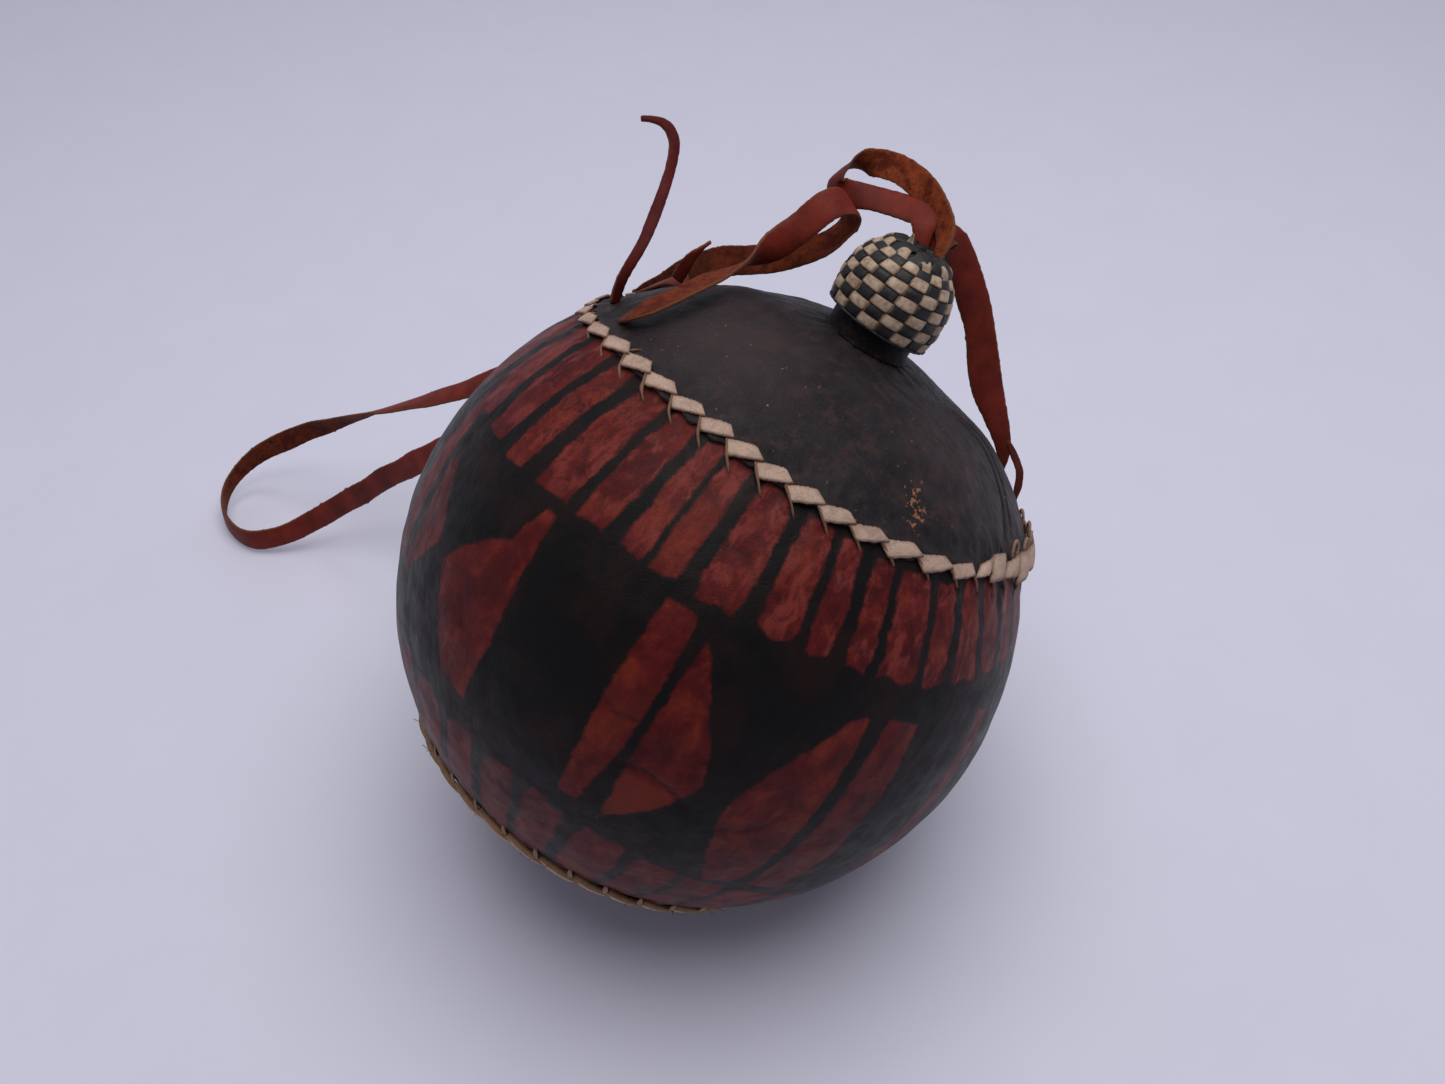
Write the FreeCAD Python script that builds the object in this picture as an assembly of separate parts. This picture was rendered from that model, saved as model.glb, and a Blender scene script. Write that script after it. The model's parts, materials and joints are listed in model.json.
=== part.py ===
"""Leather-covered gourd flask with a plaited stopper cap and leather carrying straps.

Units are millimetres.  The row frame has +Z up and its origin at the centre of the small flat
patch that the ball rests on.  The neck leans from the vertical towards +X.
Round parts are drawn about local Z, from the ball's centre outwards, and then turned and lifted
into the row frame: the seams by on_ball(), and the neck and its stopper by on_neck(), because
the neck stands a little askew to the seams.
"""
import FreeCAD, Part
import math
import os

Vector = FreeCAD.Vector

# ---- driving dimensions -------------------------------------------------------------------
BALL_RADIUS = 100.0          # outside of the leather
LEATHER = 1.5                # thickness of the leather covers
SKIN_GAP = 0.3               # leather to gourd
GOURD_WALL = 5.2
SEAM_TILT = 38.0             # lean of the seams' axis, degrees from the vertical, towards +X
NECK_TILT = 33.5             # lean of the neck's axis, and its turn about the vertical
NECK_TURN = -6.0
CENTRE_HEIGHT = 98.0         # ball centre over the floor; the ball is flattened below it
PATCH_LEATHER = 1.3          # leather left under the gourd at the flat patch
PATCH_GOURD = 1.6            # height at which the gourd's own patch is cut

UPPER_SEAM = 65.5            # heights of the two laced seams along their axis
LOWER_SEAM = -76.0
SEAM_GAP = 0.6               # slot between two leathers at a seam

BORE_RADIUS = 9.0
NECK_RADIUS = 11.7
NECK_TOP = 113.0
THROAT_START = 97.5          # the bore widens into the ball below this height
THROAT_RADIUS = 22.0         # where the widening meets the gourd's inside
THROAT_BEND = (11.8, 3.0)    # a point of the widening: radius, height over the inside
SLEEVE_INNER = 12.0
SLEEVE_OUTER = 13.2
SLEEVE_FOOT = 99.4
SLEEVE_TOP = 112.6
SLEEVE_RIM = 0.5             # bevel of the sleeve's top edge

PLUG_RADIUS = 8.6
PLUG_FOOT = 101.0
PLUG_BEVEL = 1.5
PLUG_FIT = 0.3               # plug to the lining around its head
CAP_SEAT = NECK_TOP + 0.3    # underside of the stopper's head
SKIRT_FOOT = 105.6
SKIRT_INNER = 14.4
LINING = 1.0
HEM_HEIGHT = 0.9
HEM_EDGE = 0.3
DARK_CELL = 0.9              # thickness of the recessed black cells
LIGHT_CELL = 1.4             # thickness of the raised cream cells
CELL_GAP = 0.25
CELL_ROWS = 7
CELL_COLUMNS = 18
CELL_SLIT = 0.6              # degrees between the cells of a row
ROW_SLIT = 0.00375           # share of the profile left free at a cell's upper and lower edge
CROWN_TOP = 130.5
CROWN_RADIUS = 11.8
CROWN_FLAT = 4.5             # radius of the crown's level top
CROWN_BEND = (8.6, 0.45)     # a point of the crown's arc: radius, depth under its top
CROWN_SLOT = (9.0, 1.6, 1.2)
SLOT_TURN = 35               # degrees about the neck's axis
PETALS = 9
STRAP_PETAL = 0              # the petal whose place the tether strap takes
PETAL_SIZE = (2.6, 2.2, 0.5)
PETAL_START = 8.3            # radius of a petal's inner edge
PETAL_DROOP = 24             # degrees
TAG_RADIUS = 6.0
TAG_SIZE = (0.7, 2.6, 3.4)

UPPER_STITCHES = 45
LOWER_STITCHES = 36
STITCH_LENGTH = 11.0
STITCH_WIDTH = 4.2
STITCH_THICKNESS = 1.2
STITCH_CLEARANCE = 0.45      # underside of a stitch over the leather, at its middle
UPPER_STITCH_SLANT = 25.0
LOWER_STITCH_SLANT = -28.0

STRAP_WIDTH = 9.5            # flat leather strap, as cut
STRAP_THICKNESS = 1.5
TAIL_WIDTH = 3.2
THONG_WIDTH = 1.8
THONG_THICKNESS = 1.2

# The lining's outer profile, as (radius, height along the neck's axis), from skirt to crown.
CAP_PROFILE = [(15.4, SKIRT_FOOT + HEM_HEIGHT), (16.2, 111.0), (16.15, 116.3), (15.2, 120.8),
               (13.3, 124.4), (10.8, 126.9)]

# Routes of the straps in the row frame, from the end that leaves the leather.
CARRYING_STRAP = [
    (-8, 31, 193), (-8, 25, 199), (-1, 22, 201), (10, 22, 201), (21, 25, 200), (32, 25, 200),
    (41, 23, 203), (50, 21, 208), (57, 20, 213), (64, 19, 213), (68, 18, 208), (66, 20, 201),
    (59, 23, 196), (52, 30, 194), (45, 40, 192), (40, 50, 188), (37, 61, 180), (36, 73, 167),
    (33, 89, 148), (26, 107, 127), (15, 128, 107), (3, 149, 90), (-10, 169, 75),
    (-26, 191, 61), (-44, 215, 46), (-62, 237, 30), (-80, 250, 17), (-96, 247, 9),
    (-104, 230, 6), (-100, 211, 6), (-87, 202, 9), (-72, 194, 18), (-57, 180, 34),
    (-42, 159, 57), (-29, 136, 79), (-15, 117, 98), (0, 105, 118), (14, 97, 139),
    (22, 83, 159), (24, 69, 173), (22, 59, 184), (18, 52, 182)]
TETHER_STRAP = [
    (87, -39, 138), (88, -36, 145), (89, -30, 155), (91, -22, 168), (94, -15, 181),
    (93, -9, 192), (90, -5, 199), (86, -2, 204), (82, -4, 205), (78, -7, 201)]
STOPPER_LOOP = [
    (75, -3, 203), (78, -1, 208), (81, 3, 210), (79, 10, 210), (73, 20, 210), (68, 27, 209),
    (67, 31, 210), (70, 33, 213), (75, 33, 216), (81, 27, 219), (85, 18, 219), (87, 8, 216),
    (85, -3, 212), (79, -10, 208), (73, -11, 203)]
LEFT_TAIL = [
    (0, 48, 186), (2, 48, 192), (6, 48, 197), (12, 49, 202), (18, 52, 207), (24, 55, 213),
    (30, 59, 218), (34, 63, 223), (32, 67, 228), (26, 69, 229)]
BACK_TAIL = [(25, 51, 183), (26, 48, 189), (29, 47, 193), (33, 44, 197)]
TETHER_THONG = [(90, -41, 146), (88, -46, 143), (84, -50, 138), (79, -50, 134)]


# ---- helpers ------------------------------------------------------------------------------
def placed(shape, tilt, turn):
    """Lean a shape drawn about local Z, turn it and lift it to the ball's centre."""
    moved = shape.copy()
    moved.rotate(Vector(0, 0, 0), Vector(0, 1, 0), tilt)
    moved.rotate(Vector(0, 0, 0), Vector(0, 0, 1), turn)
    moved.translate(Vector(0, 0, CENTRE_HEIGHT))
    return moved


def on_ball(shape):
    return placed(shape, SEAM_TILT, 0)


def on_neck(shape):
    return placed(shape, NECK_TILT, NECK_TURN)


def above(shape, height):
    """Keep what lies over a level of the row frame."""
    side = 6 * BALL_RADIUS
    box = Part.makeBox(side, side, side, Vector(-side / 2, -side / 2, height))
    return shape.common(box)


def slab(low, high):
    """A thick disc between two heights of local Z."""
    return Part.makeCylinder(2 * BALL_RADIUS, high - low, Vector(0, 0, low))


def radial(radius, height):
    """A point of a profile drawn in the local XZ plane."""
    return Vector(radius, 0, height)


def turned(edges, angle=360.0):
    """Revolve closed profile edges about local Z."""
    face = Part.Face(Part.Wire(edges))
    return face.revolve(Vector(0, 0, 0), Vector(0, 0, 1), angle)


def polygon(points):
    """Straight edges through points and back to the first."""
    closed = points + points[:1]
    return [Part.LineSegment(a, b).toShape() for a, b in zip(closed, closed[1:])]


def arc(start, middle, end):
    return Part.Arc(start, middle, end).toShape()


def line(start, end):
    return Part.LineSegment(start, end).toShape()


def sphere_height(ball, radius):
    """Height of a ball's surface at a distance from local Z."""
    return math.sqrt(ball * ball - radius * radius)


def write(name, shape):
    solids = shape.Solids
    result = solids[0] if len(solids) == 1 else Part.makeCompound(solids)
    result.exportStep("parts/" + name + ".step")
    box = result.BoundBox
    print("%-20s solids %3d  volume %9.1f  x %7.1f %7.1f  y %7.1f %7.1f  z %7.1f %7.1f" % (
        name, len(solids), result.Volume, box.XMin, box.XMax, box.YMin, box.YMax,
        box.ZMin, box.ZMax))


# ---- ball ---------------------------------------------------------------------------------
def gourd():
    """The rind, parted square to the neck's axis into bowl, shoulder and neck."""
    outer_radius = BALL_RADIUS - LEATHER - SKIN_GAP
    inner_radius = outer_radius - GOURD_WALL
    outer = above(on_neck(Part.makeSphere(outer_radius)), PATCH_GOURD)
    neck = on_neck(Part.makeCylinder(NECK_RADIUS, NECK_TOP - inner_radius,
                                     Vector(0, 0, inner_radius)))
    inner = on_neck(Part.makeSphere(inner_radius))
    mouth = sphere_height(inner_radius, THROAT_RADIUS)
    foot = mouth - THROAT_RADIUS / 4
    top = NECK_TOP + 1
    throat = turned([
        line(radial(0, foot), radial(THROAT_RADIUS, foot)),
        line(radial(THROAT_RADIUS, foot), radial(THROAT_RADIUS, mouth)),
        arc(radial(THROAT_RADIUS, mouth), radial(THROAT_BEND[0], mouth + THROAT_BEND[1]),
            radial(BORE_RADIUS, THROAT_START)),
        line(radial(BORE_RADIUS, THROAT_START), radial(BORE_RADIUS, top)),
        line(radial(BORE_RADIUS, top), radial(0, top)),
        line(radial(0, top), radial(0, foot))])
    rind = outer.fuse(neck).cut(inner).cut(on_neck(throat))
    return {
        "gourd_bowl": rind.common(on_neck(slab(-2 * BALL_RADIUS, 0))),
        "gourd_shoulder": rind.common(on_neck(slab(0, mouth))),
        "gourd_neck": rind.common(on_neck(slab(mouth, 2 * BALL_RADIUS)))}


def leather_ball():
    outer = above(on_ball(Part.makeSphere(BALL_RADIUS)), 0)
    inner = above(on_ball(Part.makeSphere(BALL_RADIUS - LEATHER)), PATCH_LEATHER)
    return outer.cut(inner)


def leather_covers():
    ball = leather_ball()
    half = SEAM_GAP / 2
    top = ball.common(on_ball(slab(UPPER_SEAM + half, 2 * BALL_RADIUS)))
    top = top.cut(on_neck(Part.makeCylinder(SLEEVE_INNER, 2 * BALL_RADIUS)))
    return {
        "top_leather": top,
        "body_leather": ball.common(on_ball(slab(LOWER_SEAM + half, UPPER_SEAM - half))),
        "bottom_leather": ball.common(on_ball(slab(-2 * BALL_RADIUS, LOWER_SEAM - half)))}


def neck_sleeve():
    return on_neck(turned(polygon([
        radial(SLEEVE_INNER, SLEEVE_FOOT), radial(SLEEVE_OUTER, SLEEVE_FOOT),
        radial(SLEEVE_OUTER, SLEEVE_TOP - SLEEVE_RIM),
        radial(SLEEVE_OUTER - SLEEVE_RIM, SLEEVE_TOP),
        radial(SLEEVE_INNER, SLEEVE_TOP)])))


def stitch(seam, turn, slant):
    """One flat stitch of the lacing, lying across a seam on the ball."""
    level = BALL_RADIUS + STITCH_CLEARANCE
    middle_radius = sphere_height(BALL_RADIUS, seam)
    out = Vector(middle_radius, 0, seam)
    out.normalize()
    along = Vector(0, 1, 0)
    across = out.cross(along)
    lean = math.radians(slant)
    length_way = along * math.cos(lean) + across * math.sin(lean)
    width_way = out.cross(length_way)
    plank = Part.makeBox(STITCH_LENGTH, STITCH_WIDTH, STITCH_THICKNESS,
                         Vector(-STITCH_LENGTH / 2, -STITCH_WIDTH / 2, level))
    plank.Placement = FreeCAD.Placement(Vector(0, 0, 0),
                                        FreeCAD.Rotation(length_way, width_way, out))
    plank.rotate(Vector(0, 0, 0), Vector(0, 0, 1), turn)
    return on_ball(plank)


def lacing(seam, count, slant):
    """All stitches of a seam; those pressed flat under the ball are left out."""
    whole = STITCH_LENGTH * STITCH_WIDTH * STITCH_THICKNESS
    kept = []
    for index in range(count):
        piece = above(stitch(seam, 360.0 * index / count, slant), 0.05)
        if piece.Volume > 0.9 * whole:
            kept.extend(piece.Solids)
    return Part.makeCompound(kept)


# ---- stopper ------------------------------------------------------------------------------
def offset_profile(distance):
    """The lining's outer profile moved square to itself, outwards for a positive distance."""
    moved = []
    last = len(CAP_PROFILE) - 1
    for index, (radius, height) in enumerate(CAP_PROFILE):
        before = CAP_PROFILE[max(index - 1, 0)]
        after = CAP_PROFILE[min(index + 1, last)]
        run = (after[0] - before[0], after[1] - before[1])
        size = math.hypot(run[0], run[1])
        moved.append(radial(radius + distance * run[1] / size, height - distance * run[0] / size))
    return moved


def stopper_plug():
    """Turned plug: a shank that fills the bore and a domed head inside the cap."""
    head = offset_profile(-LINING - PLUG_FIT)
    shoulder = [point for point in head if point.z > CAP_SEAT + 1]
    foot_radius = SKIRT_INNER - PLUG_FIT
    points = [radial(0, PLUG_FOOT), radial(PLUG_RADIUS - PLUG_BEVEL, PLUG_FOOT),
              radial(PLUG_RADIUS, PLUG_FOOT + PLUG_BEVEL), radial(PLUG_RADIUS, CAP_SEAT),
              radial(foot_radius, CAP_SEAT)]
    points += shoulder + [radial(0, shoulder[-1].z)]
    return on_neck(turned(polygon(points)))


def cap_lining():
    inside = [point for point in offset_profile(-LINING) if point.z > CAP_SEAT]
    outside = offset_profile(0)
    top = outside[-1].z
    points = [radial(SKIRT_INNER, outside[0].z)] + outside
    points += [radial(0, top), radial(0, inside[-1].z)] + inside[::-1]
    points += [radial(SKIRT_INNER, CAP_SEAT)]
    return on_neck(turned(polygon(points)))


def cap_hem():
    """Turned black edge of the cap's skirt."""
    middle = (SKIRT_INNER + CAP_PROFILE[0][0] + LIGHT_CELL) / 2
    half = (CAP_PROFILE[0][0] + LIGHT_CELL - SKIRT_INNER) / 2
    low = SKIRT_FOOT
    high = SKIRT_FOOT + HEM_HEIGHT - CELL_GAP
    return on_neck(turned(polygon([
        radial(middle - half, low + HEM_EDGE), radial(middle - half + HEM_EDGE, low),
        radial(middle + half - HEM_EDGE, low), radial(middle + half, low + HEM_EDGE),
        radial(middle + half, high), radial(middle - half, high)])))


def profile_point(points, share):
    """A point at a share of a profile's length."""
    runs = [(b - a).Length for a, b in zip(points, points[1:])]
    left = share * sum(runs)
    for index, run in enumerate(runs):
        if left <= run or index == len(runs) - 1:
            return points[index] + (points[index + 1] - points[index]) * (left / run)
        left -= run


def cell(row, column, thickness):
    """One visible cell of the plaited cap."""
    inner = offset_profile(CELL_GAP)
    outer = offset_profile(thickness)
    low = row / CELL_ROWS + ROW_SLIT
    high = (row + 1) / CELL_ROWS - ROW_SLIT
    face_points = [profile_point(inner, low), profile_point(outer, low),
                   profile_point(outer, high), profile_point(inner, high)]
    step = 360.0 / CELL_COLUMNS
    solid = turned(polygon(face_points), step - CELL_SLIT)
    solid.rotate(Vector(0, 0, 0), Vector(0, 0, 1), column * step + CELL_SLIT / 2)
    return on_neck(solid)


def cells(parity, thickness):
    found = []
    for row in range(CELL_ROWS):
        for column in range(CELL_COLUMNS):
            if (row + column) % 2 == parity:
                found.append(cell(row, column, thickness))
    return Part.makeCompound(found)


def cap_crown():
    """Plaited black crown that closes the top of the cap and holds the straps."""
    gap = 0.15
    base = CAP_PROFILE[-1][1] + gap
    shelf = offset_profile(LIGHT_CELL)[-1].z + gap
    core = CAP_PROFILE[-1][0] - LINING
    dome = turned([
        line(radial(0, base), radial(core, base)),
        line(radial(core, base), radial(core, shelf)),
        line(radial(core, shelf), radial(CROWN_RADIUS, shelf)),
        arc(radial(CROWN_RADIUS, shelf), radial(CROWN_BEND[0], CROWN_TOP - CROWN_BEND[1]),
            radial(CROWN_FLAT, CROWN_TOP)),
        line(radial(CROWN_FLAT, CROWN_TOP), radial(0, CROWN_TOP)),
        line(radial(0, CROWN_TOP), radial(0, base))])
    length, width, depth = CROWN_SLOT
    slot = Part.makeBox(length, width, 2 * depth,
                        Vector(-0.7 * length, -width / 3, CROWN_TOP - depth))
    slot.rotate(Vector(0, 0, 0), Vector(0, 0, 1), SLOT_TURN)
    return on_neck(dome.cut(slot))


def crown_petals():
    """Ends of the light strips, folded over the edge of the crown."""
    length, width, thickness = PETAL_SIZE
    petals = []
    for index in range(PETALS):
        if index == STRAP_PETAL:
            continue
        petal = Part.makeBox(length, width, thickness,
                             Vector(PETAL_START, -width / 2, CROWN_TOP + 0.05))
        petal.rotate(Vector(PETAL_START, 0, CROWN_TOP), Vector(0, 1, 0), PETAL_DROOP)
        petal.rotate(Vector(0, 0, 0), Vector(0, 0, 1), 360.0 * (index + 0.5) / PETALS)
        petals.append(on_neck(petal))
    return Part.makeCompound(petals)


def crown_tag():
    """Small pale point of leather that stands up from the crown."""
    thickness, width, height = TAG_SIZE
    foot = CROWN_TOP + 0.1
    corners = [Vector(-TAG_RADIUS, -width / 2, foot), Vector(-TAG_RADIUS, width / 2, foot),
               Vector(-TAG_RADIUS - 0.4, width / 8, foot + height)]
    return on_neck(Part.Face(Part.Wire(polygon(corners))).extrude(Vector(thickness, 0, 0)))


# ---- straps -------------------------------------------------------------------------------
def round_section(width, thickness):
    """Diameter of a round cord with the same cross-section as a flat strap."""
    return math.sqrt(4 * width * thickness / math.pi)


def soft_tube(name, route, diameter):
    """A tube along straight runs joined by tangent arcs as large as the runs allow."""
    points = [Vector(*point) for point in route]
    edges = []
    radii = []
    start = points[0]
    for before, corner, after in zip(points, points[1:], points[2:]):
        way_in = corner - before
        way_out = after - corner
        reach = 0.45 * min(way_in.Length, way_out.Length)
        half_turn = way_in.getAngle(way_out) / 2
        radii.append(reach / math.tan(half_turn))
        way_in.normalize()
        way_out.normalize()
        leave = corner - way_in * reach
        meet = corner + way_out * reach
        inward = way_out - way_in
        inward.normalize()
        deep = radii[-1] / math.cos(half_turn) - radii[-1]
        edges.append(line(start, leave))
        edges.append(arc(leave, corner + inward * deep, meet))
        start = meet
    edges.append(line(start, points[-1]))
    path = Part.Wire(edges)
    first_way = points[1] - points[0]
    circle = Part.Wire(Part.makeCircle(diameter / 2, points[0], first_way))
    tube = path.makePipeShell([circle], True, False)
    expected = math.pi * diameter ** 2 / 4 * path.Length
    print("%-16s length %6.1f  volume / (section x length) %.4f  valid %s" % (
        name, path.Length, tube.Volume / expected, tube.isValid()))
    print("    radii", " ".join("%.0f" % radius for radius in radii))
    return tube


def straps():
    strap = round_section(STRAP_WIDTH, STRAP_THICKNESS)
    tail = round_section(TAIL_WIDTH, STRAP_THICKNESS)
    thong = round_section(THONG_WIDTH, THONG_THICKNESS)
    routes = {
        "carrying_strap": (CARRYING_STRAP, strap),
        "tether_strap": (TETHER_STRAP, strap),
        "stopper_loop": (STOPPER_LOOP, strap),
        "left_tail": (LEFT_TAIL, tail),
        "back_tail": (BACK_TAIL, tail),
        "tether_thong": (TETHER_THONG, thong)}
    return {name: soft_tube(name, route, size) for name, (route, size) in routes.items()}


def main():
    os.makedirs("parts", exist_ok=True)
    for name, shape in {**gourd(), **leather_covers()}.items():
        write(name, shape)
    write("neck_sleeve", neck_sleeve())
    write("upper_seam_lacing", lacing(UPPER_SEAM, UPPER_STITCHES, UPPER_STITCH_SLANT))
    write("lower_seam_lacing", lacing(LOWER_SEAM, LOWER_STITCHES, LOWER_STITCH_SLANT))
    write("stopper_plug", stopper_plug())
    write("cap_lining", cap_lining())
    write("cap_hem", cap_hem())
    write("cap_light_cells", cells(0, LIGHT_CELL))
    write("cap_dark_cells", cells(1, DARK_CELL))
    write("cap_crown", cap_crown())
    write("crown_petals", crown_petals())
    write("crown_tag", crown_tag())
    for name, shape in straps().items():
        write(name, shape)


main()
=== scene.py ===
"""Looks of the leather-covered gourd flask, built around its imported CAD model.

Everything is in metres in the model's own frame.  Places on the ball are given as longitude and
latitude in degrees about the seams' axis; the neck and its stopper have an axis of their own.
Lengths given in millimetres are multiplied by MM where they are used.
"""

import json
import math
import random

import bmesh
import bpy
import numpy as np
from mathutils import Matrix, Vector


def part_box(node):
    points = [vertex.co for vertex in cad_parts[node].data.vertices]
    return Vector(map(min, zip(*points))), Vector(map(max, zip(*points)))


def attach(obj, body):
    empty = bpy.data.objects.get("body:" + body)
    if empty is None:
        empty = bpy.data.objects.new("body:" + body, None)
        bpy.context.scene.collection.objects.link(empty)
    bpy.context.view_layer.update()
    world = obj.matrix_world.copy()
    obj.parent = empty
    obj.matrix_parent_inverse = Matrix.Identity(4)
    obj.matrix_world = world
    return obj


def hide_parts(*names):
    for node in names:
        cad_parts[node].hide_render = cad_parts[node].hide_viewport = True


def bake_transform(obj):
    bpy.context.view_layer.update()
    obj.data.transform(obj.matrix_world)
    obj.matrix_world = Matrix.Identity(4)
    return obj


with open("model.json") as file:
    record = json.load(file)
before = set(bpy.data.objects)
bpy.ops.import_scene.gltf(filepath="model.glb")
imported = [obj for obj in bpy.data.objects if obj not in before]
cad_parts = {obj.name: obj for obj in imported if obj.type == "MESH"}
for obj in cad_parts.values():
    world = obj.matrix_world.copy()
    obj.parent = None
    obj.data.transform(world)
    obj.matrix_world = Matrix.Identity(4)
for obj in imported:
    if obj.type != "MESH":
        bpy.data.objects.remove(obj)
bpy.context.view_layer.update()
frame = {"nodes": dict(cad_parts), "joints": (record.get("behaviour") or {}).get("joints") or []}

MM = 0.001
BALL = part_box("body_leather")[1].y           # outside radius of the leather
PER_DEGREE = 1.745                           # millimetres on the ball for a degree of latitude
CENTRE = np.array([0.0, 0.0, 0.098])
ACROSS = np.array([0.0, 1.0, 0.0])
SEAM_TILT = math.radians(38)                 # lean of the seams' axis towards +X
AXIS = np.array([math.sin(SEAM_TILT), 0.0, math.cos(SEAM_TILT)])
SIDE = np.cross(ACROSS, AXIS)
NECK = np.array(frame["joints"][0]["axis"])
NECK_ACROSS = np.cross((0.0, 0.0, 1.0), NECK)
NECK_ACROSS /= np.linalg.norm(NECK_ACROSS)
NECK_SIDE = np.cross(NECK_ACROSS, NECK)

# ---- camera -------------------------------------------------------------------------------
PITCH = math.radians(46)                     # the camera looks down by this much
TURN = math.radians(-36)                     # and is turned about the vertical by this
LENS = 32.4                                  # millimetres, on Blender's usual sensor
DISTANCE = 0.430
SIDEWAYS = -0.0104                           # where the ball's centre lies in the view, as tangents
DOWN = 0.0392

RIGHT = np.array([math.cos(TURN), math.sin(TURN), 0.0])
AWAY = np.array([-math.sin(TURN), math.cos(TURN), 0.0])
UP = np.array([0.0, 0.0, 1.0])
FORWARD = AWAY * math.cos(PITCH) - UP * math.sin(PITCH)
VIEW_UP = AWAY * math.sin(PITCH) + UP * math.cos(PITCH)
VIEWER = -FORWARD


def make_camera():
    ray = FORWARD + SIDEWAYS * RIGHT - DOWN * VIEW_UP
    place = CENTRE - DISTANCE * ray / np.linalg.norm(ray)
    data = bpy.data.cameras.new("camera")
    data.lens = LENS
    camera = bpy.data.objects.new("camera", data)
    turn = np.array([RIGHT, VIEW_UP, VIEWER]).T
    camera.matrix_world = Matrix.Translation(place) @ Matrix(turn.tolist()).to_4x4()
    bpy.context.scene.collection.objects.link(camera)
    bpy.context.scene.camera = camera


make_camera()

# ---- routes of the straps, from the end that leaves the leather ----------------------------
CARRYING_STRAP = [
    (-8, 31, 193), (-8, 25, 199), (-1, 22, 201), (10, 22, 201), (21, 25, 200), (32, 25, 200),
    (41, 23, 203), (50, 21, 208), (57, 20, 213), (64, 19, 213), (68, 18, 208), (66, 20, 201),
    (59, 23, 196), (52, 30, 192), (45, 40, 188), (40, 50, 184), (37, 61, 176), (36, 73, 164),
    (33, 89, 148), (26, 107, 127), (15, 128, 107), (3, 149, 90), (-10, 169, 75),
    (-26, 191, 61), (-44, 215, 46), (-62, 237, 30), (-80, 250, 17), (-96, 247, 9),
    (-104, 230, 6), (-100, 211, 6), (-87, 202, 9), (-72, 194, 18), (-57, 180, 34),
    (-42, 159, 57), (-29, 136, 79), (-15, 117, 98), (0, 105, 118), (14, 97, 139),
    (24, 80, 159), (29, 64, 173), (28, 54, 181), (25, 47, 180)]
TETHER_STRAP = [
    (85, -39, 133), (88, -39, 138), (89, -36, 145), (89, -29, 155), (90, -21, 168), (92, -14, 181),
    (91, -8, 192), (89, -4, 200), (86, -3, 205), (82, -4, 205), (78, -7, 201)]
STOPPER_LOOP = [
    (75, -3, 203), (78, -1, 208), (81, 3, 210), (79, 10, 210), (74, 20, 210), (70, 26, 209),
    (69, 30, 210), (71, 31, 213), (76, 31, 215), (80, 26, 217), (84, 18, 217), (86, 8, 214),
    (84, -3, 210), (79, -10, 207), (73, -11, 203)]
LEFT_TAIL = [
    (0, 48, 186), (2, 48, 192), (6, 48, 197), (12, 49, 202), (18, 52, 207), (24, 55, 213),
    (30, 59, 218), (34, 63, 223), (32, 67, 228), (26, 69, 229)]
BACK_TAIL = [(25, 51, 183), (26, 48, 189), (29, 47, 193), (33, 44, 197)]
TETHER_THONG = [(88, -39, 147), (88, -43, 143), (87, -48, 139), (83, -50, 133)]


# ---- places, noise and meshes -------------------------------------------------------------
SPACE_WAVES = 14                             # sines summed to smooth noise in space
LINE_WAVES = 9                               # and along a line


def swelling(longitude, latitude):
    """Millimetres by which the leather bulges beside the upper seam, on the tether's side."""
    return (3.2 * bump_at(gap_between(longitude, 308), 30) * soft_step(latitude, 34, 43)
            * soft_step(-np.asarray(latitude), -73, -60))


def on_ball(longitude, latitude, height=0.0):
    """Points on the ball, raised by a height in millimetres.  Takes numbers or arrays."""
    around = np.radians(longitude)
    up = np.radians(latitude)
    radius = BALL + (np.asarray(height) + swelling(longitude, latitude)) * MM
    along = radius * np.cos(up)
    return (CENTRE + (along * np.cos(around))[..., None] * SIDE
            + (along * np.sin(around))[..., None] * ACROSS
            + (radius * np.sin(up))[..., None] * AXIS)


def about_axis(angle, radius, height):
    """Points about the neck's axis: angle in degrees, radius and height in millimetres."""
    turn = np.radians(angle)
    radius = np.asarray(radius) * MM
    height = np.asarray(height) * MM
    return (CENTRE + (radius * np.cos(turn))[..., None] * NECK_SIDE
            + (radius * np.sin(turn))[..., None] * NECK_ACROSS + height[..., None] * NECK)


def waves(points, size, seed):
    """Smooth noise of about -1 to 1, with lumps of a size in millimetres."""
    rng = np.random.default_rng(seed)
    total = np.zeros(points.shape[:-1])
    for _ in range(SPACE_WAVES):
        way = rng.normal(size=3)
        way *= rng.uniform(0.7, 1.3) * 2 * math.pi / (size * MM * np.linalg.norm(way))
        total += np.sin(points @ way + rng.uniform(0, 2 * math.pi))
    return total * 1.4 / math.sqrt(SPACE_WAVES)


def wiggle(values, size, seed):
    """Smooth noise of about -1 to 1 along one number."""
    rng = np.random.default_rng(seed)
    total = np.zeros(np.shape(values))
    for _ in range(LINE_WAVES):
        pace = rng.uniform(0.6, 1.5) * 2 * math.pi / size
        total += np.sin(np.asarray(values) * pace + rng.uniform(0, 2 * math.pi))
    return total * 1.4 / math.sqrt(LINE_WAVES)


def bump_at(distance, width):
    return np.exp(-(distance / width) ** 2)


def spot(lon, lat, place, reach):
    """1 at a place on the ball, falling to 0 over a reach, both as longitude and latitude."""
    return bump_at(gap_between(lon, place[0]), reach[0]) * bump_at(lat - place[1], reach[1])


def squarish(wave, power):
    """A wave of -1 to 1 with its crests flattened."""
    return np.sign(wave) * np.abs(wave) ** power


def round_scale(lat):
    """Millimetres on the ball for a degree of longitude."""
    return np.cos(np.radians(lat)) * PER_DEGREE


def gap_between(longitude, other):
    """Signed difference of two longitudes, from -180 to 180."""
    return (np.asarray(longitude) - other + 180) % 360 - 180


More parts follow.
